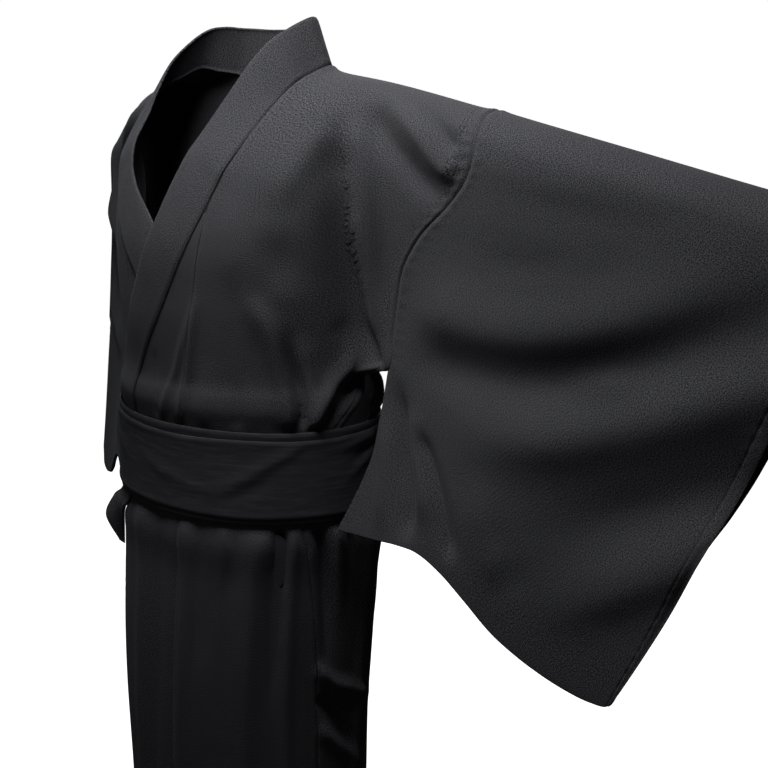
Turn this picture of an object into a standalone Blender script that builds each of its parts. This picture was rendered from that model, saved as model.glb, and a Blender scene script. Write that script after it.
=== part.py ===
"""Yukata robe, worn left side over right and tied with a plain sash, in metres with +Z up.

The front faces -Y and the wearer's left is +X. The origin lies at the neck's centre, level with
the points where the collar crosses the shoulders, and the robe hangs from there.
Every piece is a cloth wall: an outer grid of points, the same grid moved in by the cloth's
thickness, and a rim that joins the two.
"""

import math

import bmesh
import bpy
from mathutils import Vector

# ---- cloth and seams ----
CLOTH = 0.0015  # body, sleeve and sash cloth as a wall
BAND = 0.0024  # the collar, which is folded double
SEAM = 0.0005  # space left between sewn pieces
ARMHOLE_SEAM = 0.0009  # the same where a sleeve meets the body at a bend
UNDER_SEAM = 0.0020  # more of it where the under side's collar twists at its lower end
TWISTED_ROWS = 4  # rows of the okumi beside that end

# ---- how far each layer's outer face lies off the figure ----
UNDER = 0.0040
OVER = 0.0085
UNDER_BAND = 0.0056
OVER_BAND = 0.0104
SASH_FIRST = 0.0123
SASH_STEP = 0.0024

# ---- main heights ----
HEM_Z = -1.30
ARMPIT_Z = -0.316
KENSAKI_Z = {1: -0.150, -1: -0.204}  # where each okumi's point meets the collar
SASH_TOP_Z = -0.392
SASH_LOW_Z = -0.480
SASH_TURNS = 2.12
SASH_STEPS = 44  # columns in one turn
SASH_START = 165  # degrees round from the front's centre
FIRST_TURN = 0.96  # share of a turn after which the sash climbs over itself
TURN_CHANGE = 0.10  # share of a turn in which it does
SASH_HIGHER = 0.009  # how far the first turn stands above the second
SASH_LOWER = 0.006  # and how far it hangs below it
SASH_WIDE = 4  # steps across the sash

# General figure under the cloth: height, half width, depth in front, depth behind
FIGURE = (
    (0.030, 0.110, 0.058, 0.078),
    (0.000, 0.124, 0.068, 0.086),
    (-0.050, 0.155, 0.086, 0.098),
    (-0.100, 0.168, 0.106, 0.106),
    (-0.150, 0.170, 0.121, 0.110),
    (-0.200, 0.168, 0.130, 0.110),
    (-0.270, 0.162, 0.130, 0.108),
    (-0.330, 0.158, 0.125, 0.103),
    (-0.400, 0.160, 0.124, 0.101),
    (-0.480, 0.163, 0.126, 0.101),
    (-0.600, 0.164, 0.127, 0.099),
    (-0.760, 0.161, 0.124, 0.096),
    (-0.950, 0.157, 0.121, 0.093),
    (-1.300, 0.154, 0.119, 0.091),
)
SKIRT_OFF = (-0.0103, -0.0087, 0.0)  # the skirt hangs this far off the waist's middle
SKIRT_OFF_FROM = -0.46
SKIRT_OFF_OVER = 0.30  # height in which it gets there

# Fold that runs along the shoulders and the raised arms: across, back, height, turn radius
SHOULDER = (
    (-0.530, 0.262, -0.108, 0.034),
    (-0.420, 0.190, -0.082, 0.038),
    (-0.297, 0.111, -0.050, 0.044),
    (-0.190, 0.045, -0.024, 0.080),
    (-0.098, 0.033, 0.000, 0.100),
    (0.000, 0.033, 0.012, 0.100),
    (0.098, 0.033, 0.000, 0.100),
    (0.180, 0.033, -0.013, 0.080),
    (0.322, 0.033, -0.043, 0.046),
    (0.500, 0.058, -0.086, 0.040),
    (0.700, 0.092, -0.136, 0.036),
)

# Line of each sleeve seam as the cloth sinks towards the body: share of the drop, share of the lean
SEAM_LEAN = (
    (0.00, 0.00),
    (0.07, -0.02),
    (0.13, 0.02),
    (0.20, 0.18),
    (0.27, 0.42),
    (0.35, 0.60),
    (0.42, 0.66),
    (0.61, 0.72),
    (0.80, 0.78),
    (1.00, 1.00),
)

# Depth of the hanging sleeve: share of the drop, front face ahead of the fold's line at the body
# and at the cuff, and the space from the front face to the back face there
HANG = (
    (0.00, 0.042, 0.034, 0.080, 0.066),
    (0.20, 0.040, 0.038, 0.074, 0.054),
    (0.42, 0.036, 0.048, 0.062, 0.026),
    (0.60, 0.043, 0.058, 0.052, 0.006),
    (0.80, 0.056, 0.070, 0.032, 0.006),
    (1.00, 0.080, 0.082, 0.006, 0.006),
)
FACES_CLOSE = 0.006  # space at which the back face has just the front's folds
FACES_CLEAR = 0.040  # more space than that gives it folds of its own

# Sleeves: seam top x, seam low x, seam low z, cuff top x, cuff low x, cuff low z
LEFT_SLEEVE = (0.322, 0.177, -0.494, 0.700, 0.516, -0.618)
RIGHT_SLEEVE = (-0.297, -0.196, -0.540, -0.526, -0.502, -0.606)

# Lower edge of a sleeve between its ends: share of the width, rise above the straight line
SLEEVE_EDGE = (
    (0.00, 0.000),
    (0.15, 0.020),
    (0.35, 0.042),
    (0.45, 0.036),
    (0.60, 0.012),
    (0.78, 0.000),
    (1.00, 0.000),
)
# Rounded lower corner of the cuff: share of the width, rise, which fades up the sleeve
SLEEVE_CORNER = (
    (0.86, 0.000),
    (0.92, 0.003),
    (0.97, 0.010),
    (1.00, 0.030),
)
CORNER_FADE = 4  # power of the drop that the rise goes with

TURNS = (0, 30, 60, 90)  # degrees of the turn over the shoulder
NAPE_TURN = 0.32  # share of that turn's drop that the back makes at the neck's centre
ATTACHED = (0.26, 0.36, 0.46, 0.59, 0.72, 0.86, 1.0)  # rows from the turn to the armpit
BELOW = (0.25, 0.50, 0.75, 1.00)  # rows of a sleeve from the armpit to its lower edge
# Loops of a sleeve, as shares of its width from the body to the cuff
SLEEVE_ACROSS = (0.0, 0.07, 0.15, 0.24, 0.33, 0.42, 0.51, 0.60, 0.69, 0.78, 0.86, 0.92, 0.97, 1.0)
CUFF_SEWN = 4  # rows of the cuff that are sewn shut below the hand
PANEL_COLUMNS = 13
OKUMI_COLUMNS = 6
COLLAR_COLUMNS = 4

# Flutes that the sash gathers: degrees round, half width in degrees, height below and above it
FLUTES = (
    (-72.0, 9.0, 0.0060, 0.0040),
    (-46.0, 7.0, 0.0030, 0.0030),
    (-18.0, 8.0, 0.0050, 0.0025),
    (30.0, 9.0, 0.0035, 0.0000),
    (48.0, 5.0, 0.0085, 0.0000),
    (74.0, 7.0, 0.0090, 0.0040),
    (97.0, 8.0, 0.0065, 0.0050),
    (128.0, 10.0, 0.0050, 0.0060),
    (158.0, 8.0, 0.0050, 0.0060),
    (-164.0, 9.0, 0.0070, 0.0050),
    (-132.0, 8.0, 0.0060, 0.0070),
    (-101.0, 9.0, 0.0080, 0.0040),
)

FOLD_FADE = 0.2  # share of a fold's length over which it rises from each end
FOLD_END = 0.35  # share of a fold's height that is left at its ends

# Folds of the left front and sleeve: ends in x and z, bend off the straight line between them,
# half width, height out of the front
FRONT_FOLDS = (
    (0.096, -0.222, 0.142, -0.384, 0.006, 0.015, 0.011),
    (0.130, -0.266, 0.150, -0.372, 0.004, 0.009, -0.006),
    (0.164, -0.046, 0.204, -0.316, -0.006, 0.013, -0.013),
    (0.188, -0.026, 0.302, -0.114, 0.000, 0.012, 0.010),
    (0.212, -0.020, 0.304, -0.080, 0.000, 0.010, -0.006),
    (0.182, -0.048, 0.272, -0.140, 0.000, 0.012, -0.008),
    (0.202, -0.100, 0.214, -0.275, 0.000, 0.018, 0.008),
    (0.232, -0.186, 0.650, -0.190, -0.060, 0.050, 0.018),
    (0.226, -0.262, 0.650, -0.262, -0.060, 0.030, -0.014),
    (0.430, -0.378, 0.670, -0.246, 0.010, 0.036, 0.010),
    (0.470, -0.434, 0.650, -0.330, 0.000, 0.024, -0.007),
    (0.224, -0.336, 0.302, -0.505, 0.006, 0.014, 0.008),
    (0.340, -0.390, 0.410, -0.530, 0.010, 0.030, 0.006),
)
# The same on the backs and on the right, which are worn alike but never quite the same
BACK_FOLDS = (
    (0.190, -0.036, 0.288, -0.122, 0.000, 0.014, 0.008),
    (0.205, -0.130, 0.218, -0.270, 0.000, 0.022, 0.008),
    (0.250, -0.205, 0.640, -0.200, -0.050, 0.046, 0.014),
    (0.300, -0.330, 0.520, -0.350, -0.012, 0.034, -0.006),
    (0.050, -0.160, 0.155, -0.086, 0.010, 0.022, 0.005),
    (-0.060, -0.175, -0.155, -0.096, -0.010, 0.024, 0.006),
    (-0.190, -0.040, -0.264, -0.118, 0.000, 0.013, 0.008),
    (-0.215, -0.210, -0.490, -0.215, 0.045, 0.038, 0.012),
)
RIGHT_FOLDS = (
    (-0.185, -0.040, -0.264, -0.114, 0.000, 0.013, 0.008),
    (-0.100, -0.225, -0.140, -0.380, 0.000, 0.016, 0.008),
    (-0.212, -0.190, -0.480, -0.196, 0.050, 0.040, 0.014),
    (-0.250, -0.350, -0.420, -0.380, 0.010, 0.032, -0.006),
    (-0.205, -0.130, -0.212, -0.300, 0.000, 0.016, 0.008),
)

# Heights of the rows that the fronts, the okumi and the collar share
CHEST_ROWS = (-0.100, -0.125, -0.150, -0.177, -0.204, -0.235, -0.265, -0.295)
WRAP_ROWS = (-0.332, -0.348, -0.362, -0.378, -0.392, -0.436, -0.490, -0.515, -0.545, -0.566)
SKIRT_ROWS = (-0.610, -0.670, -0.750, -0.860, -1.000, -1.150, HEM_Z)
# Heights of the back's rows down its centre, above the waist
BACK_ROWS = (-0.050, -0.085, -0.125, -0.165, -0.210, -0.255, -0.298)
# From here round to the left, in degrees, the under layers lie flat beneath the over side
UNDER_FLAT = -56
FLAT_OVER = 10  # degrees in which the flutes die out there

# Okumi seams: height, degrees round from the front's centre on the over and the under side
OKUMI_SEAM = (
    (-0.150, 21.0, -27.0),
    (-0.204, 18.8, -22.5),
    (-0.265, 16.0, -16.0),
    (-0.321, 12.5, -9.0),
    (-0.392, 9.7, -4.0),
    (-0.480, 6.8, -2.0),
    (-0.600, 3.5, -1.0),
    (-0.800, -1.0, 0.0),
    (-1.300, -8.0, 4.0),
)

# Free front edges under the collar's end: height, over side, under side, in degrees
OKUMI_EDGE = (
    (-0.392, -24.0, 24.0),
    (-0.480, -29.0, 34.0),
    (-0.560, -47.0, 46.0),
    (-0.640, -55.0, 52.0),
    (-0.800, -58.0, 55.0),
    (-1.300, -62.0, 56.0),
)

# Side edges of front and back: height, front degrees, back degrees, on the left and on the right
SIDES = (
    (-0.336, 98.0, 108.0, 80.0, 106.0),
    (-0.362, 88.0, 103.0, 80.0, 98.0),
    (-0.392, 77.0, 95.0, 77.0, 94.0),
    (-0.436, 66.0, 78.0, 76.0, 84.0),
    (-0.480, 59.0, 59.4, 75.0, 75.4),
    (-0.560, 63.2, 63.6, 76.0, 76.4),
    (-0.640, 67.5, 67.9, 77.0, 77.4),
    (-0.800, 70.5, 70.9, 78.0, 78.4),
    (-1.300, 72.0, 72.4, 79.0, 79.4),
)
# Collar on the over side, from its lower end up: seam height, seam x, free edge x, its height, flare
OVER_COLLAR = (
    (-0.566, -0.124, -0.128, -0.562, 0.006),
    (-0.545, -0.118, -0.140, -0.530, 0.020),
    (-0.515, -0.104, -0.136, -0.505, 0.010),
    (-0.490, -0.080, -0.122, -0.488, 0.000),
    (-0.436, -0.068, -0.113, -0.432, 0.000),
    (-0.392, -0.060, -0.105, -0.386, 0.000),
    (-0.350, -0.050, -0.090, -0.335, 0.000),
    (-0.306, -0.026, -0.063, -0.280, 0.000),
    (-0.265, 0.001, -0.035, -0.226, 0.000),
    (-0.204, 0.035, -0.003, -0.160, 0.000),
    (-0.150, 0.060, 0.017, -0.112, 0.000),
    (-0.100, 0.079, 0.036, -0.068, 0.000),
)
# The same on the under side, which sits wider at the neck
UNDER_COLLAR = (
    (-0.566, 0.124, 0.134, -0.552, 0.000),
    (-0.545, 0.118, 0.138, -0.530, 0.000),
    (-0.515, 0.106, 0.134, -0.505, 0.000),
    (-0.490, 0.084, 0.122, -0.488, 0.000),
    (-0.436, 0.072, 0.114, -0.432, 0.000),
    (-0.392, 0.062, 0.106, -0.386, 0.000),
    (-0.350, 0.046, 0.088, -0.335, 0.000),
    (-0.306, 0.022, 0.060, -0.276, 0.000),
    (-0.265, -0.006, 0.030, -0.222, 0.000),
    (-0.222, -0.044, -0.010, -0.166, 0.000),
    (-0.176, -0.084, -0.050, -0.134, 0.000),
    (-0.126, -0.112, -0.076, -0.106, 0.000),
    (-0.100, -0.119, -0.085, -0.082, 0.000),
)
# Collar round the neck, from the left chest to the right: seam x, y, z, free edge x, y, z
NECK = (
    (0.094, -0.066, -0.054, 0.060, -0.074, -0.022),
    (0.103, -0.024, -0.018, 0.079, -0.042, 0.022),
    (0.099, 0.033, 0.000, 0.077, 0.026, 0.050),
    (0.074, 0.068, -0.008, 0.058, 0.060, 0.048),
    (0.040, 0.084, -0.016, 0.032, 0.076, 0.043),
    (0.000, 0.090, -0.020, 0.000, 0.081, 0.040),
    (-0.042, 0.084, -0.017, -0.034, 0.076, 0.040),
    (-0.080, 0.068, -0.010, -0.062, 0.060, 0.042),
    (-0.108, 0.033, -0.003, -0.084, 0.026, 0.040),
    (-0.122, -0.020, -0.026, -0.093, -0.024, 0.004),
    (-0.124, -0.058, -0.070, -0.094, -0.060, -0.052),
)


def table(rows, key, column):
    """Value of a column at a key, on a smooth curve that doesn't overshoot the rows."""
    keys = [row[0] for row in rows]
    values = [row[column] for row in rows]
    if keys[0] > keys[-1]:
        keys.reverse()
        values.reverse()
    if key <= keys[0]:
        return values[0]
    if key >= keys[-1]:
        return values[-1]
    spans = [b - a for a, b in zip(keys, keys[1:])]
    rates = [(b - a) / s for a, b, s in zip(values, values[1:], spans)]
    slopes = [rates[0]] + [
        0.0 if a * b <= 0 else 2 * a * b / (a + b) for a, b in zip(rates, rates[1:])
    ]
    slopes.append(rates[-1])
    i = max(j for j in range(len(spans)) if keys[j] <= key)
    t = (key - keys[i]) / spans[i]
    step = spans[i]
    return (
        values[i] * (1 + 2 * t) * (1 - t) ** 2
        + slopes[i] * step * t * (1 - t) ** 2
        + values[i + 1] * t * t * (3 - 2 * t)
        + slopes[i + 1] * step * t * t * (t - 1)
    )


def mix(a, b, share):
    return a + (b - a) * share


def smooth(share):
    share = min(max(share, 0.0), 1.0)
    return share * share * (3 - 2 * share)


def smooth_min(a, b, reach):
    share = min(max(0.5 + 0.5 * (b - a) / reach, 0.0), 1.0)
    return mix(b, a, share) - reach * share * (1 - share)


def bloused(z):
    """How far the cloth stands off above and below the sash that gathers it."""
    above = math.exp(-(((z - SASH_TOP_Z - 0.034) / 0.022) ** 2)) * 0.006
    below = math.exp(-(((z - SASH_LOW_Z + 0.036) / 0.026) ** 2)) * 0.004
    return above + below


def near_line(x, z, fold):
    """How strongly a fold acts at a place: 1 on its line, fading across it and at its ends."""
    x0, z0, x1, z1, bend, half_width, _ = fold
    length = math.hypot(x1 - x0, z1 - z0)
    along = ((x - x0) * (x1 - x0) + (z - z0) * (z1 - z0)) / length**2
    across = ((z - z0) * (x1 - x0) - (x - x0) * (z1 - z0)) / length
    share = min(max(along, 0.0), 1.0)
    gap = math.hypot(across - bend * 4 * share * (1 - share), (along - share) * length)
    inside = smooth(min(share, 1 - share) / FOLD_FADE)
    return math.exp(-((gap / half_width) ** 2)) * mix(FOLD_END, 1.0, inside)


def clear_of_sash(z, reach=0.030):
    """0 where the sash holds the cloth flat, 1 well above and below it."""
    above = smooth((z - SASH_TOP_Z - 0.010) / reach)
    below = smooth((SASH_LOW_Z - 0.010 - z) / reach)
    return max(above, below)


def folded(point, face, lift=OVER):
    """A front (-1) or back (+1) point, with the folds that pass by it."""
    tables = (BACK_FOLDS,) if face > 0 else (FRONT_FOLDS, RIGHT_FOLDS)
    if face < 0 and lift <= UNDER_BAND:
        tables = (RIGHT_FOLDS,)
    out = sum(fold[6] * near_line(point.x, point.z, fold) for folds in tables for fold in folds)
    return point + Vector((0.0, out * face * clear_of_sash(point.z), 0.0))


def fluted(degrees, z):
    """Height of the gathered flutes at an angle round the body."""
    below = smooth((SASH_LOW_Z - 0.010 - z) / 0.030) * mix(1.0, 0.6, smooth((-0.55 - z) / 0.6))
    above = smooth((z - SASH_TOP_Z - 0.010) / 0.020) * smooth((-0.290 - z) / 0.050)
    height = 0.0
    for centre, half_width, low, high in FLUTES:
        turn = (degrees - centre + 180) % 360 - 180
        height += (low * below + high * above) * math.exp(-((turn / half_width) ** 2))
    return height


def hung_off(z):
    """How far the skirt hangs off the waist's middle at a height."""
    return Vector(SKIRT_OFF) * smooth((SKIRT_OFF_FROM - z) / SKIRT_OFF_OVER)


def figure(z, lift):
    """Half width, depth in front and depth behind of the cloth at a height."""
    off = lift + bloused(z)
    return [table(FIGURE, z, column) + off for column in (1, 2, 3)]


def round_point(degrees, z, lift):
    """Point of a layer at an angle from the front's centre, positive to the wearer's left."""
    half, front, back = figure(z, lift)
    turn = math.radians(degrees)
    depth = front if math.cos(turn) > 0 else back
    around = Vector((half * math.sin(turn), -depth * math.cos(turn), z))
    height = fluted(degrees, z)
    if lift <= UNDER_BAND and depth == front:
        height *= smooth((UNDER_FLAT - degrees) / FLAT_OVER)
    around += around.xy.normalized().to_3d() * height
    return folded(around, -1 if depth == front else 1, lift) + hung_off(z)


def shoulder(x):
    """Back, height and turn radius of the fold along the shoulders and arms."""
    return [table(SHOULDER, x, column) for column in (1, 2, 3)]


def sleeve_of(side):
    return LEFT_SLEEVE if side > 0 else RIGHT_SLEEVE


def sleeve_place(side, across, drop):
    """x and z of a sleeve's cloth, by its share of the width and of the drop."""
    seam_top, seam_low, seam_low_z, cuff_top, cuff_low, cuff_low_z = sleeve_of(side)
    seam_x = mix(seam_top, seam_low, table(SEAM_LEAN, drop, 1))
    cuff_x = mix(cuff_top, cuff_low, drop)
    x = mix(seam_x, cuff_x, across)
    top_z = shoulder(mix(seam_top, cuff_top, across))[1]
    low_z = mix(seam_low_z, cuff_low_z, across) + table(SLEEVE_EDGE, across, 1)
    return x, mix(top_z, low_z, drop) + table(SLEEVE_CORNER, across, 1) * drop**CORNER_FADE


def hanging(side, x, z, across, drop, face):
    """y of the cloth that hangs from the arm, on its front (-1) or back (+1) face."""
    back, _, _ = shoulder(x)
    ahead = mix(table(HANG, drop, 1), table(HANG, drop, 2), across)
    deep = mix(table(HANG, drop, 3), table(HANG, drop, 4), across)
    return back - ahead + (deep if face > 0 else 0.0)


def over_turn(x, z, y, top_z):
    """Brings a front or back face in to the fold above it, over the turn's radius."""
    back, _, radius = shoulder(x)
    fall = min(max((top_z - z) / radius, 0.0), 1.0)
    return mix(back, y, math.sqrt(1 - (1 - fall) ** 2))


def upper_point(side, x, z, lift, face):
    """Point of the body cloth above the armpits: on the chest or back, or hung from the arm."""
    half, front, behind = figure(z, lift)
    room = 1 - (x / half) ** 2
    reach = math.copysign(math.sqrt(abs(room)), room)
    body = (front if face < 0 else behind) * reach
    seam_z = shoulder(sleeve_of(side)[0])[1]
    drop = (seam_z - z) / (seam_z - sleeve_of(side)[2])
    hung = hanging(side, x, z, 0.0, min(max(drop, 0.0), 1.0), face) * face
    y = -smooth_min(-body, -hung, 0.016) * face
    return folded(Vector((x, over_turn(x, z, y, shoulder(x)[1]), z)), face, lift)


def turn_drop(x, degrees):
    """Height lost from the shoulder fold after so many degrees of its turn."""
    return shoulder(x)[2] * (1 - math.cos(math.radians(degrees)))


def chest_point(side, x, z, lift):
    """Point on the front, by its place across and its height."""
    if z > ARMPIT_Z:
        return upper_point(side, x, z, lift, -1)
    half = figure(z, lift)[0]
    return round_point(math.degrees(math.asin((x - hung_off(z).x) / half)), z, lift)


def panel_lift(side):
    return OVER if side > 0 else UNDER


def collar_rows(side):
    return OVER_COLLAR if side > 0 else UNDER_COLLAR


def okumi_seam(side, z, lift):
    """The seam between a front and its okumi."""
    degrees = table(OKUMI_SEAM, z, 1 if side > 0 else 2)
    return chest_point(side, figure(z, lift)[0] * math.sin(math.radians(degrees)), z, lift)


def okumi_edge(side, z, lift):
    """The okumi's other edge: the collar's seam, then the free edge under the collar's end."""
    if z >= WRAP_ROWS[-1]:
        return chest_point(side, table(collar_rows(side), z, 1), z, lift)
    return round_point(table(OKUMI_EDGE, z, 1 if side > 0 else 2), z, lift)


def front_edge(side, z, lift):
    """Inner edge of a body front: the collar's seam on the chest, then the okumi's."""
    collar_x = table(collar_rows(side), z, 1)
    seam = okumi_seam(side, z, lift)
    if z > KENSAKI_Z[side]:
        return chest_point(side, collar_x, z, lift)
    return seam


def row_between(first, last, base, count):
    """Points of a base curve, eased so that the row starts and ends on exact points."""
    points = [base(i / (count - 1)) for i in range(count)]
    start, end = first - points[0], last - points[-1]
    for i, point in enumerate(points):
        share = i / (count - 1)
        point += start * (1 - smooth(share / 0.5)) + end * smooth((share - 0.5) / 0.5)
    return points


def sleeve_drops(side, across):
    """Shares of the drop for a sleeve's rows, from the fold down."""
    seam_top, _, _, cuff_top, _, _ = sleeve_of(side)
    x = mix(seam_top, cuff_top, across)
    top_z = shoulder(x)[1]
    length = top_z - sleeve_place(side, across, 1.0)[1]
    seam_z = shoulder(seam_top)[1]
    armpit = (seam_z - ARMPIT_Z) / (seam_z - sleeve_of(side)[2])
    turns = [turn_drop(x, degrees) / length for degrees in TURNS]
    return turns + [armpit * a for a in ATTACHED] + [mix(armpit, 1.0, b) for b in BELOW]


def sleeve_point(side, across, drop, face):
    """Point of a sleeve. Where its two faces lie close, the back one follows the front's folds."""
    x, z = sleeve_place(side, across, drop)
    y = hanging(side, x, z, across, drop, face)
    point = Vector((x, over_turn(x, z, y, shoulder(x)[1]), z))
    deep = mix(table(HANG, drop, 3), table(HANG, drop, 4), across)
    apart = smooth((deep - FACES_CLOSE) / FACES_CLEAR) if face > 0 else 0.0
    return folded(point, -1).lerp(folded(point, 1), apart)


def seam_point(side, index, face):
    """Point of a sleeve seam, at a row from the shoulder fold down to the armpit."""
    return sleeve_point(side, 0.0, sleeve_drops(side, 0.0)[index], face)


def upper_row(side, index, first, face, lift):
    """One row of a body strip above the armpits, from its inner edge to the sleeve's seam."""
    last = seam_point(side, index, face)

    def base(share):
        x = mix(first.x, last.x, share)
        if index < len(TURNS):
            part = mix(NAPE_TURN, 1.0, share) if face > 0 else 1.0
            z = shoulder(x)[1] - turn_drop(x, TURNS[index]) * part
        else:
            z = mix(first.z, last.z, share)
        return upper_point(side, x, z, lift, face)

    return row_between(first, last, base, PANEL_COLUMNS)


def wrap_row(first, last, start, end, z, lifts):
    """One row of a body strip round the waist or the skirt, between two angles."""

    def base(share):
        return round_point(mix(start, end, share), z, mix(lifts[0], lifts[1], share))

    return row_between(first, last, base, PANEL_COLUMNS)


def side_degrees(side, z, face):
    column = (1 if face < 0 else 2) + (0 if side > 0 else 2)
    return side * table(SIDES, z, column)


def body_rows(side):
    """Rows of one body strip, from the front hem over the shoulder to the back hem."""
    lift = panel_lift(side)
    centre_lift = (OVER + UNDER) / 2
    front = []
    seams = [Vector(NECK[i][0:3]) for i in ((2, 1, 0) if side > 0 else (8, 9, 10))]
    seams += [front_edge(side, z, lift) for z in CHEST_ROWS]
    for index, first in enumerate(seams):
        front.append(upper_row(side, index, first, -1, lift))
    for z in WRAP_ROWS + SKIRT_ROWS:
        seam = okumi_seam(side, z, lift)
        end = side_degrees(side, z, -1)
        start = math.degrees(math.asin((seam.x - hung_off(z).x) / figure(z, lift)[0]))
        front.append(wrap_row(seam, round_point(end, z, lift), start, end, z, (lift, lift)))
    back = []
    nape = [Vector(NECK[i][0:3]) for i in ((3, 4, 5) if side > 0 else (7, 6, 5))]
    centre = [upper_point(side, 0.0, z, centre_lift, 1) for z in BACK_ROWS]
    for index, first in enumerate(nape + centre, start=1):
        back.append(upper_row(side, index, first, 1, lift))
    for z in WRAP_ROWS + SKIRT_ROWS:
        end = side_degrees(side, z, 1)
        first, last = round_point(side * 180, z, centre_lift), round_point(end, z, lift)
        back.append(wrap_row(first, last, side * 180, end, z, (centre_lift, lift)))
    return front[::-1] + back


def okumi_rows(side):
    """Rows of an okumi, from its point under the collar to the hem."""
    lift = panel_lift(side)
    rows = []
    for z in [z for z in CHEST_ROWS if z <= KENSAKI_Z[side]] + list(WRAP_ROWS + SKIRT_ROWS):
        seam, edge = okumi_seam(side, z, lift), okumi_edge(side, z, lift)

        def base(share):
            return chest_point(side, mix(seam.x, edge.x, share), z, lift)

        rows.append(row_between(seam, edge, base, OKUMI_COLUMNS))
    return rows


def collar_side(side):
    """Rows of the collar on one front, from its lower end up to the neck."""
    lift = OVER_BAND if side > 0 else UNDER_BAND
    table_rows = collar_rows(side)
    rows = []
    for z in (CHEST_ROWS + WRAP_ROWS)[::-1]:
        seam_x, free_x, free_z, flare = [table(table_rows, z, column) for column in (1, 2, 3, 4)]
        row = []
        for i in range(COLLAR_COLUMNS):
            share = i / (COLLAR_COLUMNS - 1)
            x, height = mix(seam_x, free_x, share), mix(z, free_z, share)
            row.append(chest_point(side, x, height, lift + flare * share))
        rows.append(row)
    return rows


def collar_all():
    """Rows of the whole collar, from the over side's end round the neck to the under side's."""
    seams = [Vector(row[0:3]) for row in NECK]
    frees = [Vector(row[3:6]) for row in NECK]
    pairs = []
    for i in range(len(NECK) - 1):
        before, after = frees[max(i - 1, 0)], frees[min(i + 2, len(NECK) - 1)]
        between = (frees[i] + frees[i + 1]) * 9 / 16 - (before + after) / 16
        pairs += [(seams[i], frees[i]), ((seams[i] + seams[i + 1]) / 2, between)]
    pairs.append((seams[-1], frees[-1]))
    last = COLLAR_COLUMNS - 1
    neck = [[seam.lerp(free, i / last) for i in range(last + 1)] for seam, free in pairs]
    return collar_side(1) + neck + collar_side(-1)[::-1]


def sleeve_loops(side):
    """Closed loops of a sleeve from the body to the cuff: up its front and down its back."""
    loops = []
    for across in SLEEVE_ACROSS:
        drops = sleeve_drops(side, across)
        front = [sleeve_point(side, across, drop, -1) for drop in reversed(drops)]
        back = [sleeve_point(side, across, drop, 1) for drop in drops[1:]]
        loops.append(front + back)
    return loops


def sash_rows():
    """Rows of the sash as one strip wound round the waist, each turn outside the last."""
    rows = []
    count = round(SASH_TURNS * SASH_STEPS)
    for i in range(count + 1):
        turn = i / SASH_STEPS
        second = smooth((turn - FIRST_TURN) / TURN_CHANGE)
        top = mix(SASH_TOP_Z + SASH_HIGHER, SASH_TOP_Z, second)
        low = mix(SASH_LOW_Z - SASH_LOWER, SASH_LOW_Z, second)
        lift = SASH_FIRST + SASH_STEP * turn
        degrees = SASH_START + 360 * turn
        shares = [j / SASH_WIDE for j in range(SASH_WIDE + 1)]
        rows.append([round_point(degrees, mix(top, low, share), lift) for share in shares])
    return rows


def square_to(step, line):
    """The part of a step that is at right angles to a line."""
    return step - line * (step.dot(line) / line.length_squared)


def normals_of(rows, closed, axis):
    """Unit normals of a grid of points, facing away from the point of the axis beside each."""
    width = len(rows[0])
    found = [[Vector() for _ in row] for row in rows]
    for i in range(len(rows) - 1):
        for j in range(width if closed else width - 1):
            k = (j + 1) % width
            across = rows[i + 1][k] - rows[i][j]
            normal = across.cross(rows[i + 1][j] - rows[i][k]).normalized()
            for line, place in ((i, j), (i, k), (i + 1, j), (i + 1, k)):
                found[line][place] += normal
    middle_i, middle_j = (len(rows) - 1) // 2, (width - 1) // 3
    outward = rows[middle_i][middle_j] - axis(rows, middle_i)
    sign = 1 if found[middle_i][middle_j].dot(outward) > 0 else -1
    return [[normal.normalized() * sign for normal in line] for line in found]


def trimmed(rows, edges, gap):
    """Moves the named edges of a grid in by a gap, so that sewn pieces don't touch."""
    rows = [[point.copy() for point in row] for row in rows]
    for row in rows:
        if "start" in edges:
            row[0] += (row[1] - row[0]).normalized() * gap
        if "end" in edges:
            row[-1] += (row[-2] - row[-1]).normalized() * gap
    return rows


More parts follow.
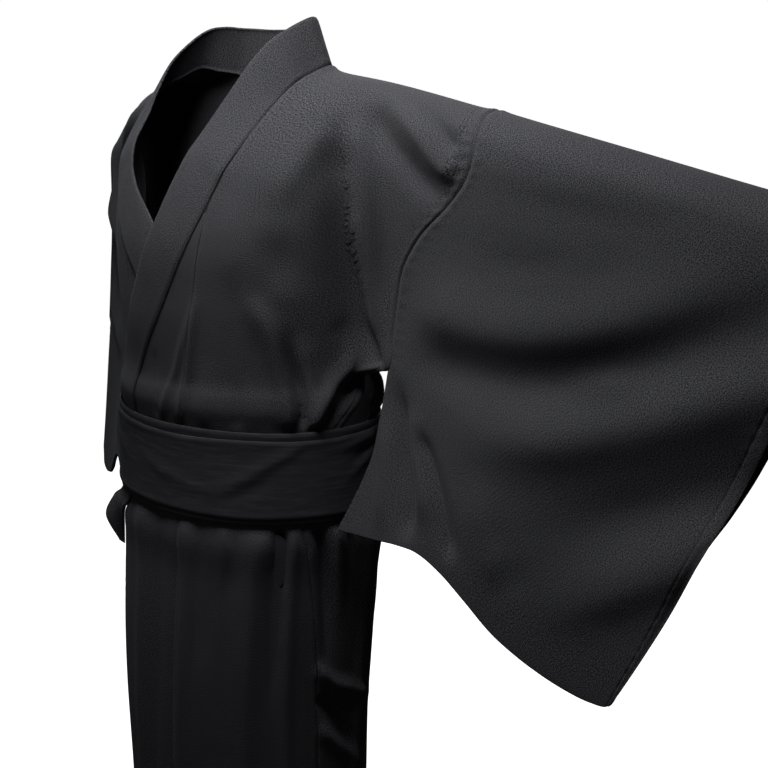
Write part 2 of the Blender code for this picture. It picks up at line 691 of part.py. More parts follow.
def add_wall(name, rows, thick, material, axis, closed=False, sewn=0):
    """Builds a cloth wall from its outer points. A closed grid's last loop can be part sewn."""
    normals = normals_of(rows, closed, axis)
    inner = [
        [point - normal * thick for point, normal in zip(row, line)]
        for row, line in zip(rows, normals)
    ]
    if sewn:
        edge, before = rows[-1], inner[-2]
        front = [(j, j + 1) for j in range(sewn + 1)]
        back = [(j, j - 1) for j in range(len(edge) - 1 - sewn, len(edge))]
        moves = [square_to(before[j] - edge[j], edge[k] - edge[j]) for j, k in front + back]
        for (j, _), move in zip(front + back, moves):
            inner[-1][j] += move.normalized() * thick
    mesh = bmesh.new()
    outside = [[mesh.verts.new(point) for point in row] for row in rows]
    inside = [[mesh.verts.new(point) for point in row] for row in inner]
    width = len(rows[0])
    spans = range(width) if closed else range(width - 1)
    for grid in (outside, inside):
        for i in range(len(rows) - 1):
            for j in spans:
                k = (j + 1) % width
                mesh.faces.new((grid[i][j], grid[i][k], grid[i + 1][k], grid[i + 1][j]))
        for j in range(sewn):
            k = width - 1 - j
            last = grid[-1]
            mesh.faces.new((last[j], last[j + 1], last[k - 1], last[k]))
    rims = [(outside[0], inside[0], spans)]
    if sewn:
        rims.append((outside[-1], inside[-1], range(sewn, width - 1 - sewn)))
        a, b = sewn, width - 1 - sewn
        mesh.faces.new((outside[-1][a], outside[-1][b], inside[-1][b], inside[-1][a]))
    else:
        rims.append((outside[-1], inside[-1], spans))
    for outer_row, inner_row, places in rims:
        for j in places:
            k = (j + 1) % width
            mesh.faces.new((outer_row[j], outer_row[k], inner_row[k], inner_row[j]))
    if not closed:
        for i in range(len(rows) - 1):
            for j in (0, width - 1):
                a, b = outside[i], outside[i + 1]
                c, d = inside[i + 1], inside[i]
                mesh.faces.new((a[j], b[j], c[j], d[j]))
    bmesh.ops.recalc_face_normals(mesh, faces=mesh.faces)
    data = bpy.data.meshes.new(name)
    mesh.to_mesh(data)
    mesh.free()
    data.shade_smooth()
    data.materials.append(material)
    piece = bpy.data.objects.new(name, data)
    bpy.context.scene.collection.objects.link(piece)
    return piece


def make_material(name, colour, roughness):
    """A plain cloth in linear colour."""
    material = bpy.data.materials.new(name)
    material.use_nodes = True
    shader = material.node_tree.nodes["Principled BSDF"]
    shader.inputs["Base Color"].default_value = (*colour, 1.0)
    shader.inputs["Roughness"].default_value = roughness
    shader.inputs["Metallic"].default_value = 0.0
    return material


def body_axis(rows, index):
    """Point of the body's upright axis beside the middle of a grid."""
    middle = rows[index][len(rows[index]) // 3]
    return Vector((0.0, 0.0, min(middle.z, -0.15)))


def loop_centre(rows, index):
    """Middle of a sleeve's loop."""
    return sum(rows[index], Vector()) / len(rows[index])


def main():
    for thing in list(bpy.data.objects):
        bpy.data.objects.remove(thing)
    cloth = make_material("black_cotton", (0.012, 0.012, 0.013), 0.85)
    sash_cloth = make_material("black_sash_cotton", (0.009, 0.009, 0.010), 0.75)
    for side, name in ((1, "left"), (-1, "right")):
        body = trimmed(body_rows(side), ("start",), SEAM)
        add_wall(f"body_{name}", body, CLOTH, cloth, body_axis)
        okumi = trimmed(okumi_rows(side), ("start", "end"), SEAM)
        if side < 0:
            last = len(okumi) - len(SKIRT_ROWS)
            first = last - TWISTED_ROWS
            okumi[first:last] = trimmed(okumi[first:last], ("end",), UNDER_SEAM)
        add_wall(f"okumi_{name}", okumi, CLOTH, cloth, body_axis)
        loops = sleeve_loops(side)
        for first, second in zip(loops[0], loops[1]):
            first += (second - first).normalized() * ARMHOLE_SEAM
        add_wall(f"sleeve_{name}", loops, CLOTH, cloth, loop_centre, closed=True, sewn=CUFF_SEWN)
    collar = trimmed(collar_all(), ("start",), SEAM)
    add_wall("collar", collar, BAND, cloth, body_axis)
    add_wall("sash", sash_rows(), CLOTH, sash_cloth, body_axis)


main()
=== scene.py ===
"""Looks of a black cotton yukata: its cloth, seams, folds and sash, with the light and the camera.

Each piece of cloth is a fine grid on the form of its solid. The folds, puckers and hems are then
pressed into the grid, and a thin thickness closes it. Sizes are in metres unless a name says mm.
"""

import math

import bmesh
import bpy
import numpy as np
from mathutils import Matrix, Vector

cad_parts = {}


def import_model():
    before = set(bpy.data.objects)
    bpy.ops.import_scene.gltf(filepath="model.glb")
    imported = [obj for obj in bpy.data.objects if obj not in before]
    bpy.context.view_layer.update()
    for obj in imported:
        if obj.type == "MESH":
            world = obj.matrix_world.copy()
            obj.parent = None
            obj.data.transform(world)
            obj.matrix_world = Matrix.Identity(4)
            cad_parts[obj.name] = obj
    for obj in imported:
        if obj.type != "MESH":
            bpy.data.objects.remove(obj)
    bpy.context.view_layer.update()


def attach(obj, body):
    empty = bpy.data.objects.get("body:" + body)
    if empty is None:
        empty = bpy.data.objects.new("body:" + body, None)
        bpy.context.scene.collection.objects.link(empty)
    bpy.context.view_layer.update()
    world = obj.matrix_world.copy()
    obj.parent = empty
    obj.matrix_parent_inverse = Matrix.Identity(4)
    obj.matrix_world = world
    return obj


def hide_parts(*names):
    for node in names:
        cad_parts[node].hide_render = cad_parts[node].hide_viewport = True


# ---- cloth and seams ----
CLOTH_WALL = 0.0009  # real cotton is thinner than the solid's wall
COLLAR_WALL = 0.0022
SASH_WALL = 0.0013
SEWN = 0.0001  # sewn edges meet in the cloth that shows
SIDE_SEWN = 0.0002  # how far a side seam's edges are let out to meet
COLLAR_OVER = -0.0012  # the collar laps this far over the edges sewn into it
UNDER_SEAM = 0.0020  # space left where the under side's collar twists at its lower end
TWISTED_ROWS = 4  # rows of the okumi beside that end

# ---- how far each layer's outer face lies off the figure ----
UNDER = 0.0040
OVER = 0.0085
UNDER_BAND = 0.0056
OVER_BAND = 0.0104
SASH_FIRST = 0.0123
SASH_STEP = 0.0024  # more of it for each turn
PANEL_LIFT = {1: OVER, -1: UNDER}
BAND_LIFT = {1: OVER_BAND, -1: UNDER_BAND}

# ---- main heights ----
HEM_Z = -1.30
ARMPIT_Z = -0.316
KENSAKI_Z = {1: -0.150, -1: -0.204}  # where each okumi's point meets the collar
SASH_TOP_Z = -0.392
SASH_LOW_Z = -0.480
SASH_TURNS = 2.12
SASH_STEPS = 44  # columns in one turn
SASH_START = 165  # degrees round from the front's centre
FIRST_TURN = 0.96  # share of a turn after which the sash climbs over itself
TURN_CHANGE = 0.10  # share of a turn in which it does
SASH_HIGHER = 0.009  # how far the first turn stands above the second
SASH_LOWER = 0.006  # and how far it hangs below it
SASH_WIDE = 4  # steps across the sash
# The cloth's bulge beside the sash: size, distance from the sash's edge, half width
ABOVE_SASH = (0.006, 0.034, 0.022)
BELOW_SASH = (0.004, 0.036, 0.026)


def metres(rows, plain=()):
    """A table given in millimetres, in metres, apart from its plain columns."""
    return [[v if i in plain else v / 1000 for i, v in enumerate(row)] for row in rows]


# General figure under the cloth: height, half width, depth in front, depth behind
FIGURE = metres((
    (30, 110, 58, 78), (0, 124, 68, 86), (-50, 155, 86, 98), (-100, 168, 106, 106),
    (-150, 170, 121, 110), (-200, 168, 130, 110), (-270, 162, 130, 108), (-330, 158, 125, 103),
    (-400, 160, 124, 101), (-480, 163, 126, 101), (-600, 164, 127, 99), (-760, 161, 124, 96),
    (-950, 157, 121, 93), (-1300, 154, 119, 91),
))
SKIRT_OFF = (-0.0103, -0.0087, 0.0)  # the skirt hangs this far off the waist's middle
SKIRT_OFF_FROM = -0.46
SKIRT_OFF_OVER = 0.30  # height in which it gets there

# Fold that runs along the shoulders and the raised arms: across, back, height, turn radius
SHOULDER = metres((
    (-530, 262, -108, 34), (-420, 190, -82, 38), (-297, 111, -50, 44), (-190, 45, -24, 80),
    (-98, 33, 0, 100), (0, 33, 12, 100), (98, 33, 0, 100), (180, 33, -13, 80), (322, 33, -43, 46),
    (500, 58, -86, 40), (700, 92, -136, 36),
))

# Line of each sleeve seam as the cloth sinks towards the body: share of the drop, share of the lean
SEAM_LEAN = (
    (0, 0), (0.07, -0.02), (0.13, 0.02), (0.2, 0.18), (0.27, 0.42), (0.35, 0.6), (0.42, 0.66),
    (0.61, 0.72), (0.8, 0.78), (1, 1),
)

# Depth of the hanging sleeve: share of the drop, front face ahead of the fold's line at the body
# and at the cuff, and the space from the front face to the back face there
HANG = metres((
    (0, 42, 34, 80, 66), (0.2, 40, 38, 74, 54), (0.42, 36, 48, 62, 26), (0.6, 43, 58, 52, 6),
    (0.8, 56, 70, 32, 6), (1, 80, 82, 6, 6),
), plain=(0,))
HANG_BLEND = 0.016  # reach over which the body's cloth turns into the hanging cloth
FACES_CLOSE = 0.006  # space at which the back face has just the front's folds
FACES_CLEAR = 0.040  # more space than that gives it folds of its own

# Sleeves: seam top x, seam low x, seam low z, cuff top x, cuff low x, cuff low z
SLEEVES = {
    1: (0.322, 0.177, -0.494, 0.700, 0.516, -0.618),
    -1: (-0.297, -0.196, -0.540, -0.526, -0.502, -0.606),
}

# Lower edge of a sleeve between its ends: share of the width, rise above the straight line
SLEEVE_EDGE = metres((
    (0, 0), (0.15, 20), (0.35, 42), (0.45, 36), (0.6, 12), (0.78, 0), (1, 0),
), plain=(0,))
# Rounded lower corner of the cuff: share of the width, rise, which fades up the sleeve
SLEEVE_CORNER = metres((
    (0.86, 0), (0.92, 3), (0.97, 10), (1, 30),
), plain=(0,))
CORNER_FADE = 4  # power of the drop that the rise goes with

TURNS = (0, 30, 60, 90)  # degrees of the turn over the shoulder
NAPE_TURN = 0.32  # share of that turn's drop that the back makes at the neck's centre
ATTACHED = (0.26, 0.36, 0.46, 0.59, 0.72, 0.86, 1.0)  # rows from the turn to the armpit
BELOW = (0.25, 0.50, 0.75, 1.00)  # rows of a sleeve from the armpit to its lower edge
# Loops of a sleeve, as shares of its width from the body to the cuff
SLEEVE_ACROSS = (0.0, 0.07, 0.15, 0.24, 0.33, 0.42, 0.51, 0.60, 0.69, 0.78, 0.86, 0.92, 0.97, 1.0)
PANEL_COLUMNS = 13
OKUMI_COLUMNS = 6
COLLAR_COLUMNS = 4

# Heights of the rows that the fronts, the okumi and the collar share
CHEST_ROWS = (-0.100, -0.125, -0.150, -0.177, -0.204, -0.235, -0.265, -0.295)
WRAP_ROWS = (-0.332, -0.348, -0.362, -0.378, -0.392, -0.436, -0.490, -0.515, -0.545, -0.566)
SKIRT_ROWS = (-0.610, -0.670, -0.750, -0.860, -1.000, -1.150, HEM_Z)
# Heights of the back's rows down its centre, above the waist
BACK_ROWS = (-0.050, -0.085, -0.125, -0.165, -0.210, -0.255, -0.298)
# From here round to the left, in degrees, the under layers lie flat beneath the over side
UNDER_FLAT = -56
FLAT_OVER = 10  # degrees in which the flutes die out there

# Okumi seams: height, degrees round from the front's centre on the over and the under side
OKUMI_SEAM = metres((
    (-150, 21, -27), (-204, 18.8, -22.5), (-265, 16, -16), (-321, 12.5, -9), (-392, 9.7, -4),
    (-480, 6.8, -2), (-600, 3.5, -1), (-800, -1, 0), (-1300, -8, 4),
), plain=(1, 2))

# Free front edges under the collar's end: height, over side, under side, in degrees
OKUMI_EDGE = metres((
    (-392, -24, 24), (-480, -29, 34), (-560, -47, 46), (-640, -55, 52), (-800, -58, 55),
    (-1300, -62, 56),
), plain=(1, 2))

# Side edges of front and back: height, front degrees, back degrees, on the left and on the right
SIDES = metres((
    (-336, 98, 108, 80, 106), (-362, 88, 103, 80, 98), (-392, 77, 95, 77, 94),
    (-436, 66, 78, 76, 84), (-480, 59, 59.4, 75, 75.4), (-560, 63.2, 63.6, 76, 76.4),
    (-640, 67.5, 67.9, 77, 77.4), (-800, 70.5, 70.9, 78, 78.4), (-1300, 72, 72.4, 79, 79.4),
), plain=(1, 2, 3, 4))

# Collar on the over side, from its lower end up: seam height, seam x, free edge x, its height, flare
OVER_COLLAR = metres((
    (-566, -124, -128, -562, 6), (-545, -118, -140, -530, 20), (-515, -104, -136, -505, 10),
    (-490, -80, -122, -488, 0), (-436, -68, -113, -432, 0), (-392, -60, -105, -386, 0),
    (-350, -50, -90, -335, 0), (-306, -26, -63, -280, 0), (-265, 1, -35, -226, 0),
    (-204, 35, -3, -160, 0), (-150, 60, 17, -112, 0), (-100, 79, 36, -68, 0),
))
# The same on the under side, which sits wider at the neck
UNDER_COLLAR = metres((
    (-566, 124, 134, -552, 0), (-545, 118, 138, -530, 0), (-515, 106, 134, -505, 0),
    (-490, 84, 122, -488, 0), (-436, 72, 114, -432, 0), (-392, 62, 106, -386, 0),
    (-350, 46, 88, -335, 0), (-306, 22, 60, -276, 0), (-265, -6, 30, -222, 0),
    (-222, -44, -10, -166, 0), (-176, -84, -50, -134, 0), (-126, -112, -76, -106, 0),
    (-100, -119, -85, -82, 0),
))
COLLARS = {1: OVER_COLLAR, -1: UNDER_COLLAR}
# Collar round the neck, from the left chest to the right: seam x, y, z, free edge x, y, z
NECK = metres((
    (94, -66, -54, 60, -74, -22), (103, -24, -18, 79, -42, 22), (99, 33, 0, 77, 26, 50),
    (74, 68, -8, 58, 60, 48), (40, 84, -16, 32, 76, 43), (0, 90, -20, 0, 81, 40),
    (-42, 84, -17, -34, 76, 40), (-80, 68, -10, -62, 60, 42), (-108, 33, -3, -84, 26, 40),
    (-122, -20, -26, -93, -24, 4), (-124, -58, -70, -94, -60, -52),
))


def table(rows, key, column):
    """Value of a column at a key, on a smooth curve that doesn't overshoot the rows."""
    keys = [row[0] for row in rows]
    values = [row[column] for row in rows]
    if keys[0] > keys[-1]:
        keys.reverse()
        values.reverse()
    if key <= keys[0]:
        return values[0]
    if key >= keys[-1]:
        return values[-1]
    spans = [b - a for a, b in zip(keys, keys[1:])]
    rates = [(b - a) / s for a, b, s in zip(values, values[1:], spans)]
    slopes = [rates[0]] + [
        0.0 if a * b <= 0 else 2 * a * b / (a + b) for a, b in zip(rates, rates[1:])
    ]
    slopes.append(rates[-1])
    i = max(j for j in range(len(spans)) if keys[j] <= key)
    t = (key - keys[i]) / spans[i]
    step = spans[i]
    return (
        values[i] * (1 + 2 * t) * (1 - t) ** 2
        + slopes[i] * step * t * (1 - t) ** 2
        + values[i + 1] * t * t * (3 - 2 * t)
        + slopes[i + 1] * step * t * t * (t - 1)
    )


def mix(a, b, share):
    return a + (b - a) * share


def ease(share):
    share = np.clip(share, 0.0, 1.0)
    return share * share * (3 - 2 * share)


def bump(distance, half_width):
    return np.exp(-((distance / half_width) ** 2))


def smooth_min(a, b, reach):
    share = min(max(0.5 + 0.5 * (b - a) / reach, 0.0), 1.0)
    return mix(b, a, share) - reach * share * (1 - share)


def bloused(z):
    """How far the cloth stands off above and below the sash that gathers it."""
    above = ABOVE_SASH[0] * bump(z - SASH_TOP_Z - ABOVE_SASH[1], ABOVE_SASH[2])
    return above + BELOW_SASH[0] * bump(z - SASH_LOW_Z + BELOW_SASH[1], BELOW_SASH[2])


def hung_off(z):
    """How far the skirt hangs off the waist's middle at a height."""
    return Vector(SKIRT_OFF) * ease((SKIRT_OFF_FROM - z) / SKIRT_OFF_OVER)


def figure(z, lift):
    """Half width, depth in front and depth behind of the cloth at a height."""
    off = lift + bloused(z)
    return [table(FIGURE, z, column) + off for column in (1, 2, 3)]


def round_point(degrees, z, lift):
    """Point of a layer at an angle from the front's centre, positive to the wearer's left."""
    half, front, back = figure(z, lift)
    turn = math.radians(degrees)
    depth = front if math.cos(turn) > 0 else back
    around = Vector((half * math.sin(turn), -depth * math.cos(turn), z))
    return around + hung_off(z)


def shoulder(x):
    """Back, height and turn radius of the fold along the shoulders and arms."""
    return [table(SHOULDER, x, column) for column in (1, 2, 3)]


def sleeve_place(side, across, drop):
    """x and z of a sleeve's cloth, by its share of the width and of the drop."""
    seam_top, seam_low, seam_low_z, cuff_top, cuff_low, cuff_low_z = SLEEVES[side]
    seam_x = mix(seam_top, seam_low, table(SEAM_LEAN, drop, 1))
    cuff_x = mix(cuff_top, cuff_low, drop)
    x = mix(seam_x, cuff_x, across)
    top_z = shoulder(mix(seam_top, cuff_top, across))[1]
    low_z = mix(seam_low_z, cuff_low_z, across) + table(SLEEVE_EDGE, across, 1)
    return x, mix(top_z, low_z, drop) + table(SLEEVE_CORNER, across, 1) * drop**CORNER_FADE


def hanging(x, across, drop, face):
    """y of the cloth that hangs from the arm, on its front (-1) or back (+1) face."""
    ahead = mix(table(HANG, drop, 1), table(HANG, drop, 2), across)
    deep = mix(table(HANG, drop, 3), table(HANG, drop, 4), across)
    return shoulder(x)[0] - ahead + (deep if face > 0 else 0.0)


def over_turn(x, z, y):
    """Brings a front or back face in to the fold above it, over the turn's radius."""
    back, top_z, radius = shoulder(x)
    fall = min(max((top_z - z) / radius, 0.0), 1.0)
    return mix(back, y, math.sqrt(1 - (1 - fall) ** 2))


def upper_point(side, x, z, lift, face):
    """Point of the body cloth above the armpits: on the chest or back, or hung from the arm."""
    half, front, behind = figure(z, lift)
    room = 1 - (x / half) ** 2
    reach = math.copysign(math.sqrt(abs(room)), room)
    body = (front if face < 0 else behind) * reach
    seam_z = shoulder(SLEEVES[side][0])[1]
    drop = (seam_z - z) / (seam_z - SLEEVES[side][2])
    hung = hanging(x, 0.0, min(max(drop, 0.0), 1.0), face) * face
    y = -smooth_min(-body, -hung, HANG_BLEND) * face
    return Vector((x, over_turn(x, z, y), z))


def turn_drop(x, degrees):
    """Height lost from the shoulder fold after so many degrees of its turn."""
    return shoulder(x)[2] * (1 - math.cos(math.radians(degrees)))


def chest_point(side, x, z, lift):
    """Point on the front, by its place across and its height."""
    if z > ARMPIT_Z:
        return upper_point(side, x, z, lift, -1)
    half = figure(z, lift)[0]
    return round_point(math.degrees(math.asin((x - hung_off(z).x) / half)), z, lift)


def okumi_seam(side, z, lift):
    """The seam between a front and its okumi."""
    degrees = table(OKUMI_SEAM, z, 1 if side > 0 else 2)
    return chest_point(side, figure(z, lift)[0] * math.sin(math.radians(degrees)), z, lift)


def okumi_edge(side, z, lift):
    """The okumi's other edge: the collar's seam, then the free edge under the collar's end."""
    if z >= WRAP_ROWS[-1]:
        return chest_point(side, table(COLLARS[side], z, 1), z, lift)
    return round_point(table(OKUMI_EDGE, z, 1 if side > 0 else 2), z, lift)


def front_edge(side, z, lift):
    """Inner edge of a body front: the collar's seam on the chest, then the okumi's."""
    if z > KENSAKI_Z[side]:
        return chest_point(side, table(COLLARS[side], z, 1), z, lift)
    return okumi_seam(side, z, lift)


def row_between(first, last, base, count):
    """Points of a base curve, eased so that the row starts and ends on exact points."""
    points = [base(i / (count - 1)) for i in range(count)]
    start, end = first - points[0], last - points[-1]
    for i, point in enumerate(points):
        share = i / (count - 1)
        point += start * (1 - ease(share / 0.5)) + end * ease((share - 0.5) / 0.5)
    return points


def sleeve_drops(side, across):
    """Shares of the drop for a sleeve's rows, from the fold down."""
    seam_top, _, seam_low_z, cuff_top, _, _ = SLEEVES[side]
    x = mix(seam_top, cuff_top, across)
    length = shoulder(x)[1] - sleeve_place(side, across, 1.0)[1]
    seam_z = shoulder(seam_top)[1]
    armpit = (seam_z - ARMPIT_Z) / (seam_z - seam_low_z)
    turns = [turn_drop(x, degrees) / length for degrees in TURNS]
    return turns + [armpit * a for a in ATTACHED] + [mix(armpit, 1.0, b) for b in BELOW]


def sleeve_point(side, across, drop, face):
    """Point of a sleeve, on its front or back face."""
    x, z = sleeve_place(side, across, drop)
    return Vector((x, over_turn(x, z, hanging(x, across, drop, face)), z))


def upper_row(side, index, first, face, lift):
    """One row of a body strip above the armpits, from its inner edge to the sleeve's seam."""
    last = sleeve_point(side, 0.0, sleeve_drops(side, 0.0)[index], face)

    def base(share):
        x = mix(first.x, last.x, share)
        if index < len(TURNS):
            part = mix(NAPE_TURN, 1.0, share) if face > 0 else 1.0
            z = shoulder(x)[1] - turn_drop(x, TURNS[index]) * part
        else:
            z = mix(first.z, last.z, share)
        return upper_point(side, x, z, lift, face)

    return row_between(first, last, base, PANEL_COLUMNS)


def wrap_row(first, last, start, end, z, lifts):
    """One row of a body strip round the waist or the skirt, between two angles."""

    def base(share):
        return round_point(mix(start, end, share), z, mix(lifts[0], lifts[1], share))

    return row_between(first, last, base, PANEL_COLUMNS)


def side_degrees(side, z, face):
    column = (1 if face < 0 else 2) + (0 if side > 0 else 2)
    return side * table(SIDES, z, column)


def body_rows(side):
    """Rows of one body strip, from the front hem over the shoulder to the back hem."""
    lift = PANEL_LIFT[side]
    centre_lift = (OVER + UNDER) / 2
    front = []
    seams = [Vector(NECK[i][0:3]) for i in ((2, 1, 0) if side > 0 else (8, 9, 10))]
    seams += [front_edge(side, z, lift) for z in CHEST_ROWS]
    for index, first in enumerate(seams):
        front.append(upper_row(side, index, first, -1, lift))
    for z in WRAP_ROWS + SKIRT_ROWS:
        seam = okumi_seam(side, z, lift)
        end = side_degrees(side, z, -1)
        start = math.degrees(math.asin((seam.x - hung_off(z).x) / figure(z, lift)[0]))
        front.append(wrap_row(seam, round_point(end, z, lift), start, end, z, (lift, lift)))
    back = []
    nape = [Vector(NECK[i][0:3]) for i in ((3, 4, 5) if side > 0 else (7, 6, 5))]
    centre = [upper_point(side, 0.0, z, centre_lift, 1) for z in BACK_ROWS]
    for index, first in enumerate(nape + centre, start=1):
        back.append(upper_row(side, index, first, 1, lift))
    for z in WRAP_ROWS + SKIRT_ROWS:
        end = side_degrees(side, z, 1)
        first, last = round_point(side * 180, z, centre_lift), round_point(end, z, lift)
        back.append(wrap_row(first, last, side * 180, end, z, (centre_lift, lift)))
    return front[::-1] + back


def okumi_rows(side):
    """Rows of an okumi, from its point under the collar to the hem."""
    lift = PANEL_LIFT[side]
    rows = []
    for z in [z for z in CHEST_ROWS if z <= KENSAKI_Z[side]] + list(WRAP_ROWS + SKIRT_ROWS):
        seam, edge = okumi_seam(side, z, lift), okumi_edge(side, z, lift)

        def base(share):
            return chest_point(side, mix(seam.x, edge.x, share), z, lift)

        rows.append(row_between(seam, edge, base, OKUMI_COLUMNS))
    return rows


def collar_side(side):
    """Rows of the collar on one front, from its lower end up to the neck."""
    rows = []
    for z in (CHEST_ROWS + WRAP_ROWS)[::-1]:
        seam_x, free_x, free_z, flare = [table(COLLARS[side], z, column) for column in (1, 2, 3, 4)]
        row = []
        for i in range(COLLAR_COLUMNS):
            share = i / (COLLAR_COLUMNS - 1)
            x, height = mix(seam_x, free_x, share), mix(z, free_z, share)
            row.append(chest_point(side, x, height, BAND_LIFT[side] + flare * share))
        rows.append(row)
    return rows


def collar_all():
    """Rows of the whole collar, from the over side's end round the neck to the under side's."""
    seams = [Vector(row[0:3]) for row in NECK]
    frees = [Vector(row[3:6]) for row in NECK]
    pairs = []
    for i in range(len(NECK) - 1):
        before, after = frees[max(i - 1, 0)], frees[min(i + 2, len(NECK) - 1)]
        between = (frees[i] + frees[i + 1]) * 9 / 16 - (before + after) / 16
        pairs += [(seams[i], frees[i]), ((seams[i] + seams[i + 1]) / 2, between)]
    pairs.append((seams[-1], frees[-1]))
    last = COLLAR_COLUMNS - 1
    neck = [[seam.lerp(free, i / last) for i in range(last + 1)] for seam, free in pairs]
    return collar_side(1) + neck + collar_side(-1)[::-1]


def sleeve_loops(side):
    """Closed loops of a sleeve from the body to the cuff: up its front and down its back."""
    loops = []
    for across in SLEEVE_ACROSS:
        drops = sleeve_drops(side, across)
        front = [sleeve_point(side, across, drop, -1) for drop in reversed(drops)]
        back = [sleeve_point(side, across, drop, 1) for drop in drops[1:]]
        loops.append(front + back)
    return loops


def sash_rows():
    """Rows of the sash as one strip wound round the waist, each turn outside the last."""
    rows = []
    count = round(SASH_TURNS * SASH_STEPS)
    for i in range(count + 1):
        turn = i / SASH_STEPS
        second = ease((turn - FIRST_TURN) / TURN_CHANGE)
        top = mix(SASH_TOP_Z + SASH_HIGHER, SASH_TOP_Z, second)
        low = mix(SASH_LOW_Z - SASH_LOWER, SASH_LOW_Z, second)
        lift = SASH_FIRST + SASH_STEP * turn
        degrees = SASH_START + 360 * turn
        shares = [j / SASH_WIDE for j in range(SASH_WIDE + 1)]
        rows.append([round_point(degrees, mix(top, low, share), lift) for share in shares])
    return rows


def trimmed(rows, edges, gap):
    """Moves the named edges of a grid in by a gap."""
    rows = [[point.copy() for point in row] for row in rows]
    for row in rows:
        if "start" in edges:
            row[0] += (row[1] - row[0]).normalized() * gap
        if "end" in edges:
            row[-1] += (row[-2] - row[-1]).normalized() * gap
    return rows


# ==== fine grid of each piece ====

STEP = 0.0045  # spacing of the fine grid
SLEEVE_STEP = 0.0042
COLLAR_STEP = 0.0040
SASH_FINE_STEP = 0.0035
EDGE_STEPS = (0.0008, 0.0018, 0.0030, 0.0045, 0.0065, 0.0090)
HEM_STEPS = (0.0108, 0.0120, 0.0131, 0.0142, 0.0155, 0.0170)  # round the hem's stitch line
SLOPE_LIMIT = 1.8  # a curve's slope is at most this many times the shorter leg beside it
FOLD_REACH = 2.6  # half widths at which a fold has died away
FADE_LEAST = 0.02  # share of its length over which a fold fades at the least


def slopes_of(points, closed):
    """Slopes of a smooth curve through points along the first axis, kept from overshooting."""
    before, after = np.roll(points, 1, axis=0), np.roll(points, -1, axis=0)
    leg_in, leg_out = points - before, after - points
    if not closed:
        leg_in[0], leg_out[-1] = leg_out[0], leg_in[-1]
    slope = (leg_in + leg_out) / 2
    sizes = [np.linalg.norm(leg, axis=-1, keepdims=True) for leg in (leg_in, leg_out, slope)]
    limit = SLOPE_LIMIT * np.minimum(sizes[0], sizes[1]) / np.maximum(sizes[2], 1e-9)
    return slope * np.minimum(limit, 1.0)


def curve_at(points, places, closed):
    """Points of that curve at places counted in its own points."""
    slope = slopes_of(points, closed)
    count = len(points)
    first = np.floor(places).astype(int)
    if not closed:
        first = np.minimum(first, count - 2)
    t = (places - first).reshape((-1,) + (1,) * (points.ndim - 1))
    a, b = first % count, (first + 1) % count
    return (
        points[a] * (1 + 2 * t) * (1 - t) ** 2
        + slope[a] * t * (1 - t) ** 2
        + points[b] * t * t * (3 - 2 * t)
        + slope[b] * t * t * (t - 1)
    )


def fine_places(points, step, closed, starts=(), ends=()):
    """Places along the first axis about a step apart, with more of them near the edges."""
    legs = np.linalg.norm(np.diff(points, axis=0), axis=-1)
    lengths = legs.reshape(len(legs), -1).mean(axis=1)
    if closed:
        last = np.linalg.norm(points[0] - points[-1], axis=-1).mean()
        lengths = np.append(lengths, last)
    reach = np.concatenate([[0], np.cumsum(lengths)])
    total = reach[-1]
    low = max(starts) if starts else 0.0
    high = total - (max(ends) if ends else 0.0)
    middle = np.linspace(low, high, max(2, round((high - low) / step)) + 1)
    found = np.concatenate([[0.0], starts, middle, total - np.array(ends), [total]])
    found = np.unique(np.round(found, 6))
    if closed:
        found = found[:-1]
    return np.interp(found, reach, np.arange(len(reach))), found


def grid_normals(points, closed):
    """Unit normals of a fine grid."""
    down = np.gradient(points, axis=0)
    across = np.gradient(points, axis=1)
    if closed:
        across = np.roll(points, -1, axis=1) - np.roll(points, 1, axis=1)
    normal = np.cross(down, across)
    return normal / np.maximum(np.linalg.norm(normal, axis=-1, keepdims=True), 1e-12)


def link(thing):
    bpy.context.scene.collection.objects.link(thing)
    return thing


